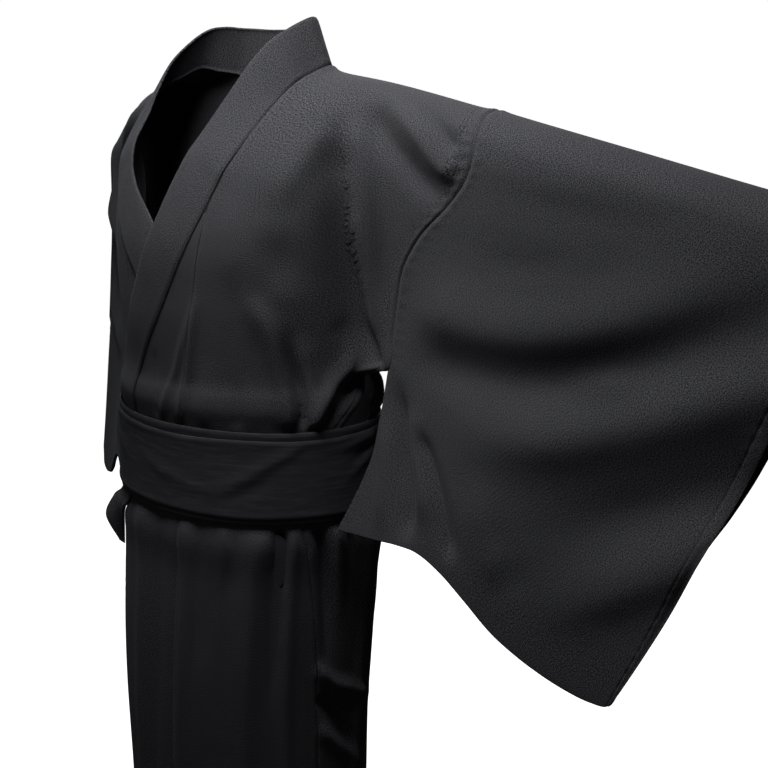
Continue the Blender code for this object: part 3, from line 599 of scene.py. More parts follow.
class Cloth:
    """A fine grid with its distances along the cloth, ready to be folded and built."""

    def __init__(self, rows, step=STEP, closed=False, edges=((), (), (), ())):
        coarse = np.array([[tuple(point) for point in row] for row in rows])
        self.row, self.along = fine_places(coarse, step, False, edges[0], edges[1])
        turned = curve_at(coarse, self.row, False).transpose(1, 0, 2)
        self.column, self.across = fine_places(turned, step, closed, edges[2], edges[3])
        self.points = curve_at(turned, self.column, closed).transpose(1, 0, 2)
        self.closed = closed
        self.base = self.points.copy()
        self.normals = grid_normals(self.points, closed)
        self.ends = (self.along[-1], self.across[-1])

    def face_out(self, centre=0.0, level=(1, 1, 0)):
        """Turns the normals away from a centre, or from the figure's axis."""
        self.normals *= np.sign((self.normals * (self.base - centre) * level).sum())

    def relax(self, share, times):
        """Evens out the cloth inside its edges, by a share of the way at each place."""
        points = self.points
        for _ in range(times):
            down = (points[:-2, 1:-1] + points[2:, 1:-1]) / 2
            beside = (points[1:-1, :-2] + points[1:-1, 2:]) / 2
            pull = (down + beside) / 2 - points[1:-1, 1:-1]
            points[1:-1, 1:-1] += pull * share[1:-1, 1:-1, None]
        self.base = points.copy()
        self.normals = grid_normals(points, self.closed)

    def press(self, height):
        """Moves the cloth out along its normals."""
        self.points += self.normals * height[..., None]

    def build(self, name, wall, material):
        rows, columns = self.points.shape[:2]
        index = np.arange(rows * columns).reshape(rows, columns)
        right = np.roll(index, -1, axis=1) if self.closed else index[:, 1:]
        left = index if self.closed else index[:, :-1]
        quads = np.stack([left[:-1], right[:-1], right[1:], left[1:]], axis=-1).reshape(-1, 4)
        flat = np.stack(np.meshgrid(self.across, self.along), axis=-1).reshape(-1, 2)
        mesh = bpy.data.meshes.new(name)
        mesh.from_pydata(self.points.reshape(-1, 3).tolist(), [], quads.tolist())
        mesh.uv_layers.new(name="weave").data.foreach_set("uv", flat[quads.ravel()].ravel())
        first = mesh.polygons[len(mesh.polygons) // 2]
        middle = np.array(first.center)
        nearest = np.argmin(np.linalg.norm(self.points.reshape(-1, 3) - middle, axis=1))
        if np.dot(first.normal, self.normals.reshape(-1, 3)[nearest]) < 0:
            mesh.flip_normals()
        mesh.shade_smooth()
        mesh.materials.append(material)
        piece = link(bpy.data.objects.new(name, mesh))
        thickness = piece.modifiers.new("thickness", "SOLIDIFY")
        thickness.thickness = wall
        thickness.offset = -1
        thickness.use_even_offset = False
        return piece


def smooth_line(points, steps=6):
    """A line through a few places, rounded where it turns."""
    line = np.array(points, float)
    if len(line) < 3:
        return line
    return curve_at(line, np.linspace(0, len(line) - 1, steps * (len(line) - 1) + 1), False)


def line_gap(u, v, points):
    """Signed distance from a line of places, distance beyond its ends, and the share passed."""
    line = smooth_line(points)
    legs = np.linalg.norm(np.diff(line, axis=0), axis=1)
    reach = np.concatenate([[0], np.cumsum(legs)])
    nearest = np.full(np.shape(u), np.inf)
    side, beyond, share = [np.zeros(np.shape(u)) for _ in range(3)]
    for i, leg in enumerate(legs):
        (u0, v0), (u1, v1) = line[i], line[i + 1]
        du, dv = (u1 - u0) / leg, (v1 - v0) / leg
        along = (u - u0) * du + (v - v0) * dv
        across = (v - v0) * du - (u - u0) * dv
        off = along - np.clip(along, 0, leg)
        gap = across**2 + off**2
        closer = gap < nearest
        nearest = np.where(closer, gap, nearest)
        last = i in (0, len(legs) - 1)
        side = np.where(closer, across if last else np.sign(across) * np.sqrt(gap), side)
        beyond = np.where(closer, off if last else 0.0, beyond)
        share = np.where(closer, (reach[i] + np.clip(along, 0, leg)) / reach[-1], share)
    return side, beyond, share


def crease(u, v, row):
    """Height of one fold: half width, height, lean (sharper on one side), fades and its line."""
    half_width, height, lean, fade_in, fade_out, *points = row
    reach = FOLD_REACH * half_width * (1 + abs(lean))
    low, high = np.min(points, axis=0) - reach, np.max(points, axis=0) + reach
    near = (u > low[0]) & (u < high[0]) & (v > low[1]) & (v < high[1])
    found = np.zeros(np.shape(u))
    side, beyond, share = line_gap(u[near], v[near], points)
    width = half_width * np.where(side > 0, 1 - lean, 1 + lean)
    rise = ease((share + FADE_LEAST) / max(fade_in, FADE_LEAST))
    fall = ease((1 + FADE_LEAST - share) / max(fade_out, FADE_LEAST))
    found[near] = height * rise * fall * np.exp(-((side / width) ** 2) - (beyond / half_width) ** 2)
    return found


def creases(u, v, rows):
    return sum(crease(u, v, row) for row in rows)


# ==== folds of the cloth ====

DEGREE = 0.165 * math.pi / 180  # width of one degree of the skirt
OVER_ROOM = 0.0022  # how far the over side can sink before it meets the under side
FREE_ROOM = 0.03  # more of it where there's no under side beneath
PAST_EDGE, PAST_OVER = 3, 6  # degrees past the under side's edge at which that starts and grows
WAIST_FROM, WAIST_OVER = -0.20, 0.06  # height at which the waist's folds start and grow
BESIDE_ROOM, BESIDE_OVER = 0.012, 0.010  # clear of the figure's sides, where sleeves take over
SASH_HOLD, SASH_FADE = 0.008, 0.014  # the sash holds the cloth flat so far, then lets it go
TURN_HOLD, TURN_FADE = 0.004, 0.034  # and so does the fold along the shoulder


def folds(rows, unit=0.001):
    """Folds in metres, from rows whose widths and places across are in a unit, the rest in mm."""
    found = []
    for half_width, height, lean, fade_in, fade_out, *places in rows:
        line = [(u * unit, v / 1000) for u, v in zip(places[::2], places[1::2])]
        found.append((half_width * unit, height / 1000, lean, fade_in, fade_out, *line))
    return found


# A fold is: half width, height out of the cloth (in if negative), lean (how much sharper the side
# on its line's left is), the shares of its length over which it rises and dies out, and then the
# places its line runs through, each as x and z.
LEFT_FRONT_FOLDS = folds((
    # where the cloth drops from the shoulder and turns out to the sleeve
    (11, -15, 0.55, 0.25, 0.05, 160, -46, 174, -96, 180, -137, 180, -169, 181, -201, 184, -245,
     189, -278, 206, -312),
    (10, 5, -0.1, 0.15, 0.2, 174, -50, 190, -96, 195, -150, 195, -205, 199, -255, 209, -292),
    (12, 3, 0.2, 0.2, 0.4, 152, -60, 146, -90, 139, -114, 132, -150),
    # pulls from the shoulder to the armhole's seam
    (12, 8.5, -0.2, 0.2, 0.12, 188, -16, 206, -30, 236, -54, 264, -78, 286, -98, 306, -108),
    (13, -7.5, 0.1, 0.25, 0.35, 180, -34, 192, -50, 214, -74, 242, -99, 271, -121, 304, -131),
    (7, 5, -0.2, 0.3, 0.12, 226, -10, 256, -26, 283, -44, 308, -64),
    (7, -5, 0.1, 0.3, 0.12, 222, -22, 250, -38, 276, -58, 304, -82),
    # the chest beside the collar
    (20, 3.8, 0.1, 0.5, 0.4, 80, -110, 91, -146, 98, -197, 106, -240),
    (14, -4.2, 0, 0.5, 0.5, 131, -160, 136, -200, 142, -240),
    # bands that the raised arm draws across the sleeve
    (32, 9, -0.1, 0.15, 0.6, 238, -238, 277, -248, 320, -253, 368, -256, 421, -252, 472, -238,
     519, -218, 563, -198, 616, -177, 690, -150),
    (28, -8.5, 0, 0.15, 0.6, 246, -294, 300, -302, 360, -303, 411, -298, 466, -283, 517, -266,
     564, -246, 617, -224, 690, -194),
    (30, 11, 0, 0.35, 0.15, 300, -358, 360, -364, 420, -358, 470, -343, 520, -325, 565, -305, 620, -282,
     690, -252),
    (32, -9, 0, 0.5, 0.15, 400, -452, 450, -440, 500, -420, 560, -394, 640, -356),
    (28, 8.5, -0.1, 0.5, 0.15, 410, -540, 450, -520, 495, -494, 550, -462, 610, -425),
    # the sleeve's free inner edge
    (10, -11, 0.1, 0.35, 0.2, 226, -318, 244, -360, 254, -405, 266, -444, 274, -488),
    (10, 5, 0, 0.4, 0.3, 216, -352, 228, -405, 232, -450, 238, -490),
    (13, 6, 0, 0.3, 0.3, 248, -345, 268, -390, 284, -430, 296, -470),
    (8, -10, 0, 0.25, 0.2, 262, -362, 293, -412, 314, -452, 332, -496),
    (24, 5, 0, 0.5, 0.3, 330, -400, 362, -450, 396, -510),
    (16, -3, 0, 0.5, 0.4, 356, -420, 384, -470, 410, -520),
    # softer ones between
    (18, -1.4, 0, 0.5, 0.4, 330, -110, 420, -132, 520, -136, 600, -124),
    (16, -1.2, 0, 0.5, 0.4, 318, -178, 372, -188, 440, -184),
    (14, 3, 0, 0.5, 0.5, 420, -300, 470, -296, 520, -284),
))
RIGHT_FRONT_FOLDS = folds((
    (11, 8.5, 0.2, 0.4, 0.1, -176, -36, -230, -76, -280, -112),
    (10, -6, -0.1, 0.4, 0.1, -190, -70, -236, -112, -276, -138),
    (15, -11, -0.3, 0.3, 0.08, -158, -60, -172, -130, -178, -220, -200, -306),
    (34, 12.5, 0.2, 0.3, 0.2, -214, -215, -280, -236, -370, -234, -500, -196),
    (23, -10, -0.1, 0.3, 0.2, -222, -272, -290, -292, -380, -288, -500, -252),
    (18, 5.5, 0, 0.3, 0.3, -238, -330, -274, -420, -332, -520),
    (12, -6, 0, 0.3, 0.3, -256, -345, -300, -430, -350, -500),
    (26, 6, 0, 0.4, 0.2, -310, -372, -390, -372, -480, -338),
))
LEFT_BACK_FOLDS = folds((
    (12, 8.5, -0.1, 0.35, 0.1, 180, -36, 240, -70, 300, -120),
    (12, -7, 0, 0.35, 0.1, 182, -64, 232, -104, 290, -146),
    (16, -10, -0.3, 0.35, 0.08, 160, -60, 176, -140, 182, -220, 204, -308),
    (36, 12.5, -0.2, 0.3, 0.2, 240, -214, 330, -246, 440, -242, 560, -206, 670, -160),
    (24, -10, 0.1, 0.3, 0.2, 240, -280, 330, -308, 440, -302, 560, -264, 670, -216),
    (30, 6, 0, 0.4, 0.3, 320, -362, 410, -376, 520, -350),
    (16, 5, 0, 0.3, 0.3, 250, -340, 286, -410, 322, -480),
    (12, -6, 0, 0.3, 0.3, 232, -330, 258, -400, 280, -470),
    (24, 5, 0, 0.5, 0.4, 50, -160, 104, -114, 160, -86),
    (16, -3.5, 0, 0.5, 0.4, 70, -190, 116, -144, 162, -118),
))
RIGHT_BACK_FOLDS = folds((
    (12, 8, 0.1, 0.35, 0.1, -178, -42, -226, -76, -276, -124),
    (10, -6, 0, 0.35, 0.1, -182, -74, -228, -112, -270, -152),
    (15, -9, -0.3, 0.4, 0.08, -164, -70, -178, -150, -182, -230, -206, -308),
    (34, 11, -0.1, 0.3, 0.2, -220, -220, -300, -248, -390, -246, -500, -214),
    (23, -8.5, 0.1, 0.3, 0.2, -226, -280, -310, -306, -400, -302, -480, -282),
    (24, 6, 0, 0.5, 0.4, -60, -175, -108, -128, -158, -96),
    (18, 5, 0, 0.3, 0.3, -232, -330, -276, -410, -326, -500),
    (12, -5, 0, 0.3, 0.3, -250, -336, -300, -410, -352, -486),
))
FOLDS = {1: (LEFT_FRONT_FOLDS, LEFT_BACK_FOLDS), -1: (RIGHT_FRONT_FOLDS, RIGHT_BACK_FOLDS)}
# Folds round the waist and the skirt, with degrees round in place of x, and for half widths
SKIRT_FOLDS = folds((
    (5, 4.5, 0, 0.04, 0.4, -15.5, -487, -16, -660, -20, -845, -26, -1100),
    (3, -2, 0, 0.04, 0.6, -3.4, -487, -4.4, -650, -8.6, -811, -14, -1000),
    (3.4, 4.2, -0.35, 0.04, 0.4, 9.6, -487, 9, -652, 6.6, -795, 2, -1100),
    (2.6, -2.2, 0, 0.04, 0.6, 16, -487, 15, -620, 12, -780),
    (5, -1.6, 0, 0.4, 0.4, 31, -515, 26.5, -555, 21, -610, 18, -680),
    (3, 3, 0, 0.04, 0.7, 27, -487, 25.5, -560, 24, -660),
    (6, 6.5, 0.2, 0.06, 0.6, 42, -487, 38.6, -575, 37.4, -697, 37, -900, 35, -1150),
    (2.3, -11.5, 0, 0.02, 0.85, 49.4, -487, 49.2, -542, 48.6, -620, 47.5, -730),
    (3, 4, 0.1, 0.04, 0.6, 54.6, -487, 54.6, -599, 55, -697, 56, -900, 58, -1150),
    (1.3, 1.4, 0, 0.05, 0.5, 61.8, -520, 66, -600, 69, -680, 72.4, -850),
    (2.8, -12, -0.1, 0.02, 0.7, 65, -487, 68, -530, 71.5, -590, 74, -680),
    (3.6, 7, 0, 0.04, 0.7, 73, -487, 76, -550, 79, -620),
    (2.4, -6, 0, 0.04, 0.7, 82, -487, 84, -560, 83, -640),
    (3, 8.5, 0.25, 0.15, 0.5, 68, -655, 76, -680, 85, -694, 100, -712, 114, -726),
    (2.9, -8, -0.1, 0.15, 0.5, 69.5, -698, 77, -724, 86, -756, 98, -790),
    (3, 6.5, 0.2, 0.2, 0.6, 70, -733, 79, -760, 90, -786, 104, -820),
    (3.2, -5, 0, 0.15, 0.6, 70.5, -800, 79, -850, 88, -930, 96, -1020),
    (3.4, 5, 0.2, 0.15, 0.6, 71.5, -850, 79, -900, 87, -990, 94, -1090),
    (4.4, 6.5, -0.2, 0.08, 0.7, 98, -487, 95, -800, 94, -1150),
    (2.2, -6.5, 0, 0.04, 0.8, 105, -487, 104, -600, 103, -710),
    (4.4, 6.5, 0, 0.08, 0.6, 112, -487, 110, -860, 108, -1250),
    (2.6, -5.5, -0.2, 0.04, 0.8, 121, -487, 122, -620, 122.5, -760),
    (4.8, 7.5, -0.3, 0.08, 0.7, 130, -487, 128, -840, 126, -1200),
    (2.2, -5, 0, 0.04, 0.8, 141, -487, 142, -590, 143, -690),
    (4, 5.5, 0, 0.08, 0.7, 152, -487, 150, -740, 149, -1000),
    (3, 4.5, 0.2, 0.06, 0.8, 163, -487, 164, -650, 165, -820),
    (1.9, -4.5, 0, 0.04, 0.85, 171, -487, 171.5, -570, 172, -650),
    (4.4, 6.5, 0.3, 0.08, 0.7, -168, -487, -167, -820, -166, -1150),
    (2, -5.5, 0, 0.04, 0.85, -158, -487, -158.5, -600, -159, -710),
    (3.6, 6, 0, 0.06, 0.8, -149, -487, -147.5, -700, -146, -900),
    (4.8, 7, 0.2, 0.08, 0.6, -137, -487, -137.5, -860, -138, -1250),
    (2.2, -6, 0, 0.04, 0.85, -127, -487, -126.5, -570, -126, -660),
    (4.2, 6.5, 0, 0.06, 0.8, -117, -487, -115.5, -730, -114, -980),
    (5, 7.5, 0.2, 0.08, 0.7, -104, -487, -102.5, -840, -101, -1200),
    (2, -5.5, 0, 0.04, 0.85, -95, -487, -94, -560, -93, -640),
    (3.6, 5.5, 0, 0.06, 0.8, -84, -487, -83, -690, -82, -900),
    (4.6, 5.5, 0, 0.08, 0.6, -72, -487, -73, -860, -74, -1250),
), DEGREE)
WAIST_FOLDS = folds((
    (4.4, 7.5, 0.15, 0.45, 0.04, 35, -205, 41, -240, 47.5, -271, 51.2, -304, 54.4, -337, 57, -386),
    (3.1, -13, 0, 0.6, 0.03, 52.4, -262, 55.6, -304, 58.2, -337, 60.2, -386),
    (3, 4, 0, 0.3, 0.04, 60, -275, 63, -310, 64.6, -345, 65, -386),
    (3, 7, 0.35, 0.1, 0.03, 92, -306, 84, -317, 75, -337, 67.5, -362, 62.5, -386),
    (2.6, -4.5, 0, 0.12, 0.03, 97, -322, 86, -340, 76, -362, 69, -388),
    (4, -3, 0, 0.4, 0.3, 76, -262, 80, -285, 84, -306),
    (4, 8, -0.3, 0.45, 0.03, -40, -220, -51, -300, -57, -386),
    (2.4, -8, 0.1, 0.25, 0.03, -50, -262, -58, -320, -61, -386),
    (3.6, 6.5, -0.2, 0.5, 0.03, 118, -270, 115, -326, 112, -386),
    (2.2, -5.5, 0, 0.4, 0.03, 126, -296, 123, -340, 121, -386),
    (3.4, 5.5, -0.2, 0.5, 0.03, 142, -270, 140, -326, 138, -386),
    (2.6, 4, 0, 0.5, 0.03, 160, -300, 159.5, -340, 159, -386),
    (2.2, -4, 0, 0.5, 0.03, 151, -320, 150, -350, 149, -386),
    (3.6, 6.5, 0.2, 0.5, 0.03, -120, -272, -117, -326, -114, -386),
    (2.2, -6, 0, 0.4, 0.03, -129, -296, -126, -340, -124, -386),
    (3.2, 5.5, 0.2, 0.5, 0.03, -146, -280, -143, -334, -141, -386),
    (2.8, 3.5, 0, 0.5, 0.03, -168, -296, -167, -340, -166, -386),
    (2.2, 3.6, 0, 0.35, 0.05, 19.5, -215, 18.1, -242, 14, -310, 8, -386),
    (1.6, 3, 0, 0.35, 0.05, 15.9, -253, 9, -312, 2.2, -357, -1, -386),
    (1.1, -2, 0, 0.2, 0.05, -3.4, -300, -4, -340, -4.7, -386),
    (3, 2.4, 0, 0.6, 0.05, 22, -300, 20.6, -340, 19, -386),
    (2.4, -2, 0, 0.6, 0.05, 33, -318, 33, -350, 33, -386),
    (3, 4, 0, 0.6, 0.05, -62, -300, -66, -340, -70, -386),
    (2.2, -3, 0, 0.6, 0.05, -80, -330, -82, -360, -84, -386),
), DEGREE)
# Creases of the sash's outer turn, in the same way
SASH_CREASES = folds((
    (2.4, 1.6, 0.2, 0.15, 0.35, 60, -396, 45.4, -418, 33.6, -438, 23.7, -455),
    (2, -0.9, 0, 0.3, 0.4, 50, -426, 36, -450, 22, -464),
    (2.4, 1, 0.1, 0.3, 0.4, -16, -424, 8, -444, 32, -456),
    (1.6, 1.8, -0.2, 0.06, 0.6, 99, -400, 85, -402, 70, -410),
    (1.5, -2.8, 0, 0.06, 0.6, 100, -408, 90, -414, 80, -424),
    (1.9, 1.8, 0.2, 0.06, 0.7, 100, -415, 87, -430, 74, -452),
    (1.5, -1.6, 0, 0.06, 0.7, 101, -424, 94, -442, 86, -464),
    (1.8, 1, 0, 0.4, 0.4, -60, -404, -40, -422, -20, -444),
    (1.8, 1.4, 0, 0.2, 0.4, -110, -410, -97, -428, -84, -452),
    (1.6, -1, 0, 0.3, 0.4, -120, -440, -105, -436, -90, -426),
    (1.8, 1.3, 0, 0.3, 0.3, 150, -402, 134, -420, 118, -446),
    (1.8, 1.2, 0, 0.2, 0.3, -150, -408, -163, -426, -176, -448),
), DEGREE)


def beside_sash(z):
    """0 where the sash holds the cloth flat, 1 a finger's width above and below it."""
    above = ease((z - SASH_TOP_Z - SASH_HOLD) / SASH_FADE)
    below = ease((SASH_LOW_Z - SASH_HOLD - z) / SASH_FADE)
    return np.maximum(above, below)


def hung_beside(z):
    """How far the skirt hangs off the waist's middle, across and in depth."""
    share = ease((SKIRT_OFF_FROM - z) / SKIRT_OFF_OVER)
    return SKIRT_OFF[0] * share, SKIRT_OFF[1] * share


def figure_at(z, column):
    """The figure's half width or depths at heights, without the curve between its rows."""
    return np.interp(z, [row[0] for row in FIGURE[::-1]], [row[column] for row in FIGURE[::-1]])


def degrees_round(points):
    """Degrees round the figure from the front's centre, positive to the wearer's left."""
    z = points[..., 2]
    x, y = points[..., 0] - hung_beside(z)[0], points[..., 1] - hung_beside(z)[1]
    half, front, behind = [figure_at(z, column) + UNDER for column in (1, 2, 3)]
    return np.degrees(np.arctan2(x / half, -y / np.where(y < 0, front, behind)))


def skirt_height(points, under):
    """Height of the gathered folds above and below the sash."""
    z, degrees = points[..., 2], degrees_round(points)
    height = creases(degrees * DEGREE, z, SKIRT_FOLDS + WAIST_FOLDS)
    ahead = points[..., 1] < 0
    if under:
        height = np.where(ahead, height * ease((UNDER_FLAT - degrees) / FLAT_OVER), height)
    else:
        keys = [row[0] for row in OKUMI_EDGE][::-1]
        edge = np.interp(z, keys, [row[2] for row in OKUMI_EDGE][::-1])
        beyond = ease((degrees - edge - PAST_EDGE) / PAST_OVER)
        height = np.where(ahead, np.maximum(height, -OVER_ROOM - FREE_ROOM * beyond), height)
    beside = abs(points[..., 0] - hung_beside(z)[0])
    inside = ease((WAIST_FROM - z) / WAIST_OVER)
    inside = inside * ease((figure_at(z, 1) + OVER + BESIDE_ROOM - beside) / BESIDE_OVER)
    return height * inside * beside_sash(z)


def upper_height(side, points, front):
    """Height of the folds of a front and a back at the same places."""
    x, z = points[..., 0], points[..., 2]
    ahead, behind = [creases(x, z, rows) for rows in FOLDS[side]]
    height = ahead * front + behind * (1 - front)
    turn = np.interp(x, [row[0] for row in SHOULDER], [row[2] for row in SHOULDER]) - z
    return height * beside_sash(z) * ease((turn - TURN_HOLD) / TURN_FADE)


def ripple(distance, length=0.012):
    """Uneven puckers along a line of stitches."""
    turn = 2 * math.pi / length
    return np.sin(turn * distance + 1.7 * np.sin(distance / 0.031) + 0.9 * np.sin(distance / 0.013))


# Rolls and grooves beside an edge, in mm: height, distance from the edge, half width
HEM_LINE = 13.6  # the hem's stitch line
SEAM_ROLL = metres(((-1.1, 0, 2), (0.5, 5.5, 2.8)))
HEM_ROLL = metres(((-0.7, HEM_LINE, 1.1), (0.5, HEM_LINE / 2, 4.5), (-0.5, 0, 1.2)))
HEM_PUCKER = metres(((0.5, HEM_LINE, 4),))
BODY_PUCKER = metres(((0.9, 8.5, 4.8),))
SLEEVE_PUCKER = metres(((0.5, 8, 5),))
COLLAR_SEAM = metres(((-0.8, 0, 1.6), (0.6, 4, 3)))
COLLAR_FOLD = metres(((-0.8, 0, 1.6),))
SASH_ROLL = metres(((-0.6, 0, 1.4), (0.4, 4.5, 3)))
PANEL_SEAM = 0.6  # share of a seam's roll where two flat panels meet
ARMHOLE_PUCKER = 0.015  # length of one pucker beside the armhole
ARMPIT_OVER = 0.008  # height in which the seam's roll turns into the open edge's hem


SHOULDER_PULL = (-0.112, 0.040, 0.35)  # height and half width of its strongest, and the rest
CROWN = 0.0007  # how far the collar's middle stands out
COLLAR_SOFT = 0.00045  # and its uneven fullness
SASH_SOFT = 0.0002
SASH_WAVE = 0.00054  # how far the sash's edges waver
SASH_SINK = (0.0006, 0.002)  # how far its creases can sink, and more of it in the outer turn


def sway(distance, length, swing, slow):
    """Waves along a distance, hurried and held back over a slower one."""
    return np.sin(distance / length + swing * np.sin(distance / slow))


def rolled(gap, profile):
    """Height of the cloth at a distance from an edge."""
    return sum(height * bump(gap - place, half_width) for height, place, half_width in profile)


def hemmed(gap, distance):
    """A hem's stitch line, with its puckers and the fullness between it and the edge."""
    return rolled(gap, HEM_ROLL) + rolled(gap, HEM_PUCKER) * ripple(distance)


def attached_at(z):
    """1 above the armpit, where the sleeve is sewn on, and 0 below it."""
    return ease((z - ARMPIT_Z) / ARMPIT_OVER + 0.5)


def spread(values, rows, columns):
    """Values of a coarse table at fine places. The table's last column is followed by its first."""
    first = np.minimum(np.floor(rows).astype(int), len(values) - 2)
    share = (rows - first)[:, None]
    down = values[first] * (1 - share) + values[first + 1] * share
    count = values.shape[1]
    first = np.floor(columns).astype(int)
    share = columns - first
    return down[:, first % count] * (1 - share) + down[:, (first + 1) % count] * share


# Where the body's upper cloth is evened out: from this height, over this much of it, clear of its
# edges by this much, by this share, so many times
EVEN_FROM, EVEN_OVER, EVEN_EDGE, EVEN_SHARE, EVEN_TIMES = -0.33, 0.06, 0.020, 0.9, 36


def make_body(side, name, material):
    rows = trimmed(trimmed(body_rows(side), ("start",), SEWN), ("end",), -SIDE_SEWN)
    front_rows = len(CHEST_ROWS) + len(WRAP_ROWS) + len(SKIRT_ROWS) + len(TURNS) - 1
    cloth = Cloth(rows, edges=(HEM_STEPS, HEM_STEPS, EDGE_STEPS, EDGE_STEPS + HEM_STEPS))
    along, across = cloth.along[:, None], cloth.across[None, :]
    gap = cloth.ends[1] - across
    upper = ease((cloth.points[..., 2] - EVEN_FROM) / EVEN_OVER)
    cloth.relax(EVEN_SHARE * upper * ease(np.minimum(across, gap) / EVEN_EDGE), EVEN_TIMES)
    cloth.face_out()
    base, z = cloth.base, cloth.base[..., 2]
    front = ease((front_rows - 0.4 - cloth.row[:, None] * np.ones_like(z)) / 1.2)
    height = upper_height(side, base, front) + skirt_height(base, side < 0)
    height += PANEL_SEAM * rolled(across, SEAM_ROLL)
    attached, skirt_seam = attached_at(z), ease((SASH_TOP_Z - z) / 0.01)
    height += rolled(gap, SEAM_ROLL) * np.maximum(attached, skirt_seam)
    height += (1 - attached) * (1 - skirt_seam) * hemmed(gap, along)
    pull = bump(z - SHOULDER_PULL[0], SHOULDER_PULL[1]) + SHOULDER_PULL[2]
    height += attached * pull * rolled(gap, BODY_PUCKER) * ripple(along, ARMHOLE_PUCKER)
    for end in (along, cloth.ends[0] - along):
        height += hemmed(end, across)
    cloth.press(height)
    return cloth.build(name, CLOTH_WALL, material)


def make_okumi(side, name, material):
    rows = trimmed(okumi_rows(side), ("start", "end"), SEWN)
    if side < 0:
        last = len(rows) - len(SKIRT_ROWS)
        first = last - TWISTED_ROWS
        rows[first:last] = trimmed(rows[first:last], ("end",), UNDER_SEAM)
    cloth = Cloth(rows, edges=((), HEM_STEPS, EDGE_STEPS, EDGE_STEPS + HEM_STEPS))
    cloth.face_out()
    base, z = cloth.base, cloth.base[..., 2]
    along, across = cloth.along[:, None], cloth.across[None, :]
    height = skirt_height(base, side < 0) + PANEL_SEAM * rolled(across, SEAM_ROLL)
    if side > 0:
        height += upper_height(side, base, np.ones_like(z))
    free = ease((WRAP_ROWS[-1] - z) / 0.01)
    gap = cloth.ends[1] - across
    height += rolled(gap, SEAM_ROLL) * (1 - free) + hemmed(gap, along) * free
    height += hemmed(cloth.ends[0] - along, across)
    cloth.press(height * ease(along / 0.05 + 0.1))
    return cloth.build(name, CLOTH_WALL, material)


def make_collar(name, material):
    rows = trimmed(collar_all(), ("start",), COLLAR_OVER)
    cloth = Cloth(rows, step=COLLAR_STEP, edges=(EDGE_STEPS,) * 4)
    cloth.face_out()
    along, across = cloth.along[:, None], cloth.across[None, :]
    wide = cloth.ends[1]
    crown = CROWN * (1 - (2 * across / wide - 1) ** 4)
    edges = rolled(across, COLLAR_SEAM) + rolled(wide - across, COLLAR_FOLD)
    soft = COLLAR_SOFT * sway(along, 0.047, 1.3, 0.11) * np.sin(math.pi * across / wide)
    cloth.press(crown + edges + soft)
    return cloth.build(name, COLLAR_WALL, material)


def make_sleeve(side, name, material):
    loops = sleeve_loops(side)
    for first, second in zip(loops[0], loops[1]):
        first += (second - first).normalized() * SEWN
    edges = (EDGE_STEPS, EDGE_STEPS + HEM_STEPS, (), ())
    cloth = Cloth(loops, step=SLEEVE_STEP, closed=True, edges=edges)
    cloth.face_out(cloth.base.mean(axis=1, keepdims=True), (1, 1, 1))
    base, z = cloth.base, cloth.base[..., 2]
    drops = [sleeve_drops(side, across) for across in SLEEVE_ACROSS]
    turn = len(drops[0]) - 1
    around = np.array([row[::-1] + row[1:] for row in drops])
    drop = spread(around, cloth.row, cloth.column)
    across = np.interp(cloth.row, np.arange(len(SLEEVE_ACROSS)), SLEEVE_ACROSS)[:, None]
    keys = [row[0] for row in HANG]
    at_body, at_cuff = [np.interp(drop, keys, [row[k] for row in HANG]) for k in (3, 4)]
    deep = at_body + (at_cuff - at_body) * across
    apart = ease((deep - FACES_CLOSE) / FACES_CLEAR)
    column = cloth.column[None, :] * np.ones_like(z)
    front = ease((turn + 0.6 - column) / 1.2)
    front = np.maximum(front, np.clip(column - 2 * turn, 0, 1))
    ahead, behind = [creases(base[..., 0], z, rows) for rows in FOLDS[side]]
    height = front * ahead + (1 - front) * (-ahead + (behind + ahead) * apart)
    along, gap = cloth.along[:, None], cloth.ends[0] - cloth.along[:, None]
    ring = cloth.across[None, :]
    pucker = rolled(along, SLEEVE_PUCKER) * ripple(ring, ARMHOLE_PUCKER)
    height += attached_at(z) * (rolled(along, SEAM_ROLL) + pucker)
    height += hemmed(gap, ring)
    cloth.press(height)
    sew_cuff(cloth, drop, drops[-1][len(TURNS) + len(ATTACHED) - 1], turn)
    return cloth.build(name, CLOTH_WALL, material)


CUFF_NEAR, CUFF_OVER = 0.016, 0.014  # how far in from the cuff it is drawn together
CUFF_SEAM, CUFF_GAP = 0.03, 0.0003  # share of the drop in which it starts, and what stays open


def sew_cuff(cloth, drop, opening, turn):
    """Brings the cuff's front and back together below the hand's opening."""
    gap = cloth.ends[0] - cloth.along
    near = ease((CUFF_NEAR - gap) / CUFF_OVER)[:, None]
    order = np.argsort(cloth.column)
    mirror = (2 * turn - cloth.column) % (2 * turn + 1)
    count = 2 * turn + 1
    ends = np.append(cloth.column[order], cloth.column[order][0] + count)
    places = np.append(order, order[0])
    partner = np.empty_like(cloth.points)
    for c in range(3):
        for i, row in enumerate(cloth.points[..., c]):
            partner[i, :, c] = np.interp(mirror, ends, row[places])
    middle = (cloth.points + partner) / 2
    apart = cloth.points - partner
    size = np.maximum(np.linalg.norm(apart, axis=-1, keepdims=True), 1e-9)
    wanted = np.minimum(size, 2 * CLOTH_WALL + CUFF_GAP)
    together = middle + apart / size * wanted / 2
    share = (near * ease((drop - opening) / CUFF_SEAM))[..., None]
    cloth.points += (together - cloth.points) * share


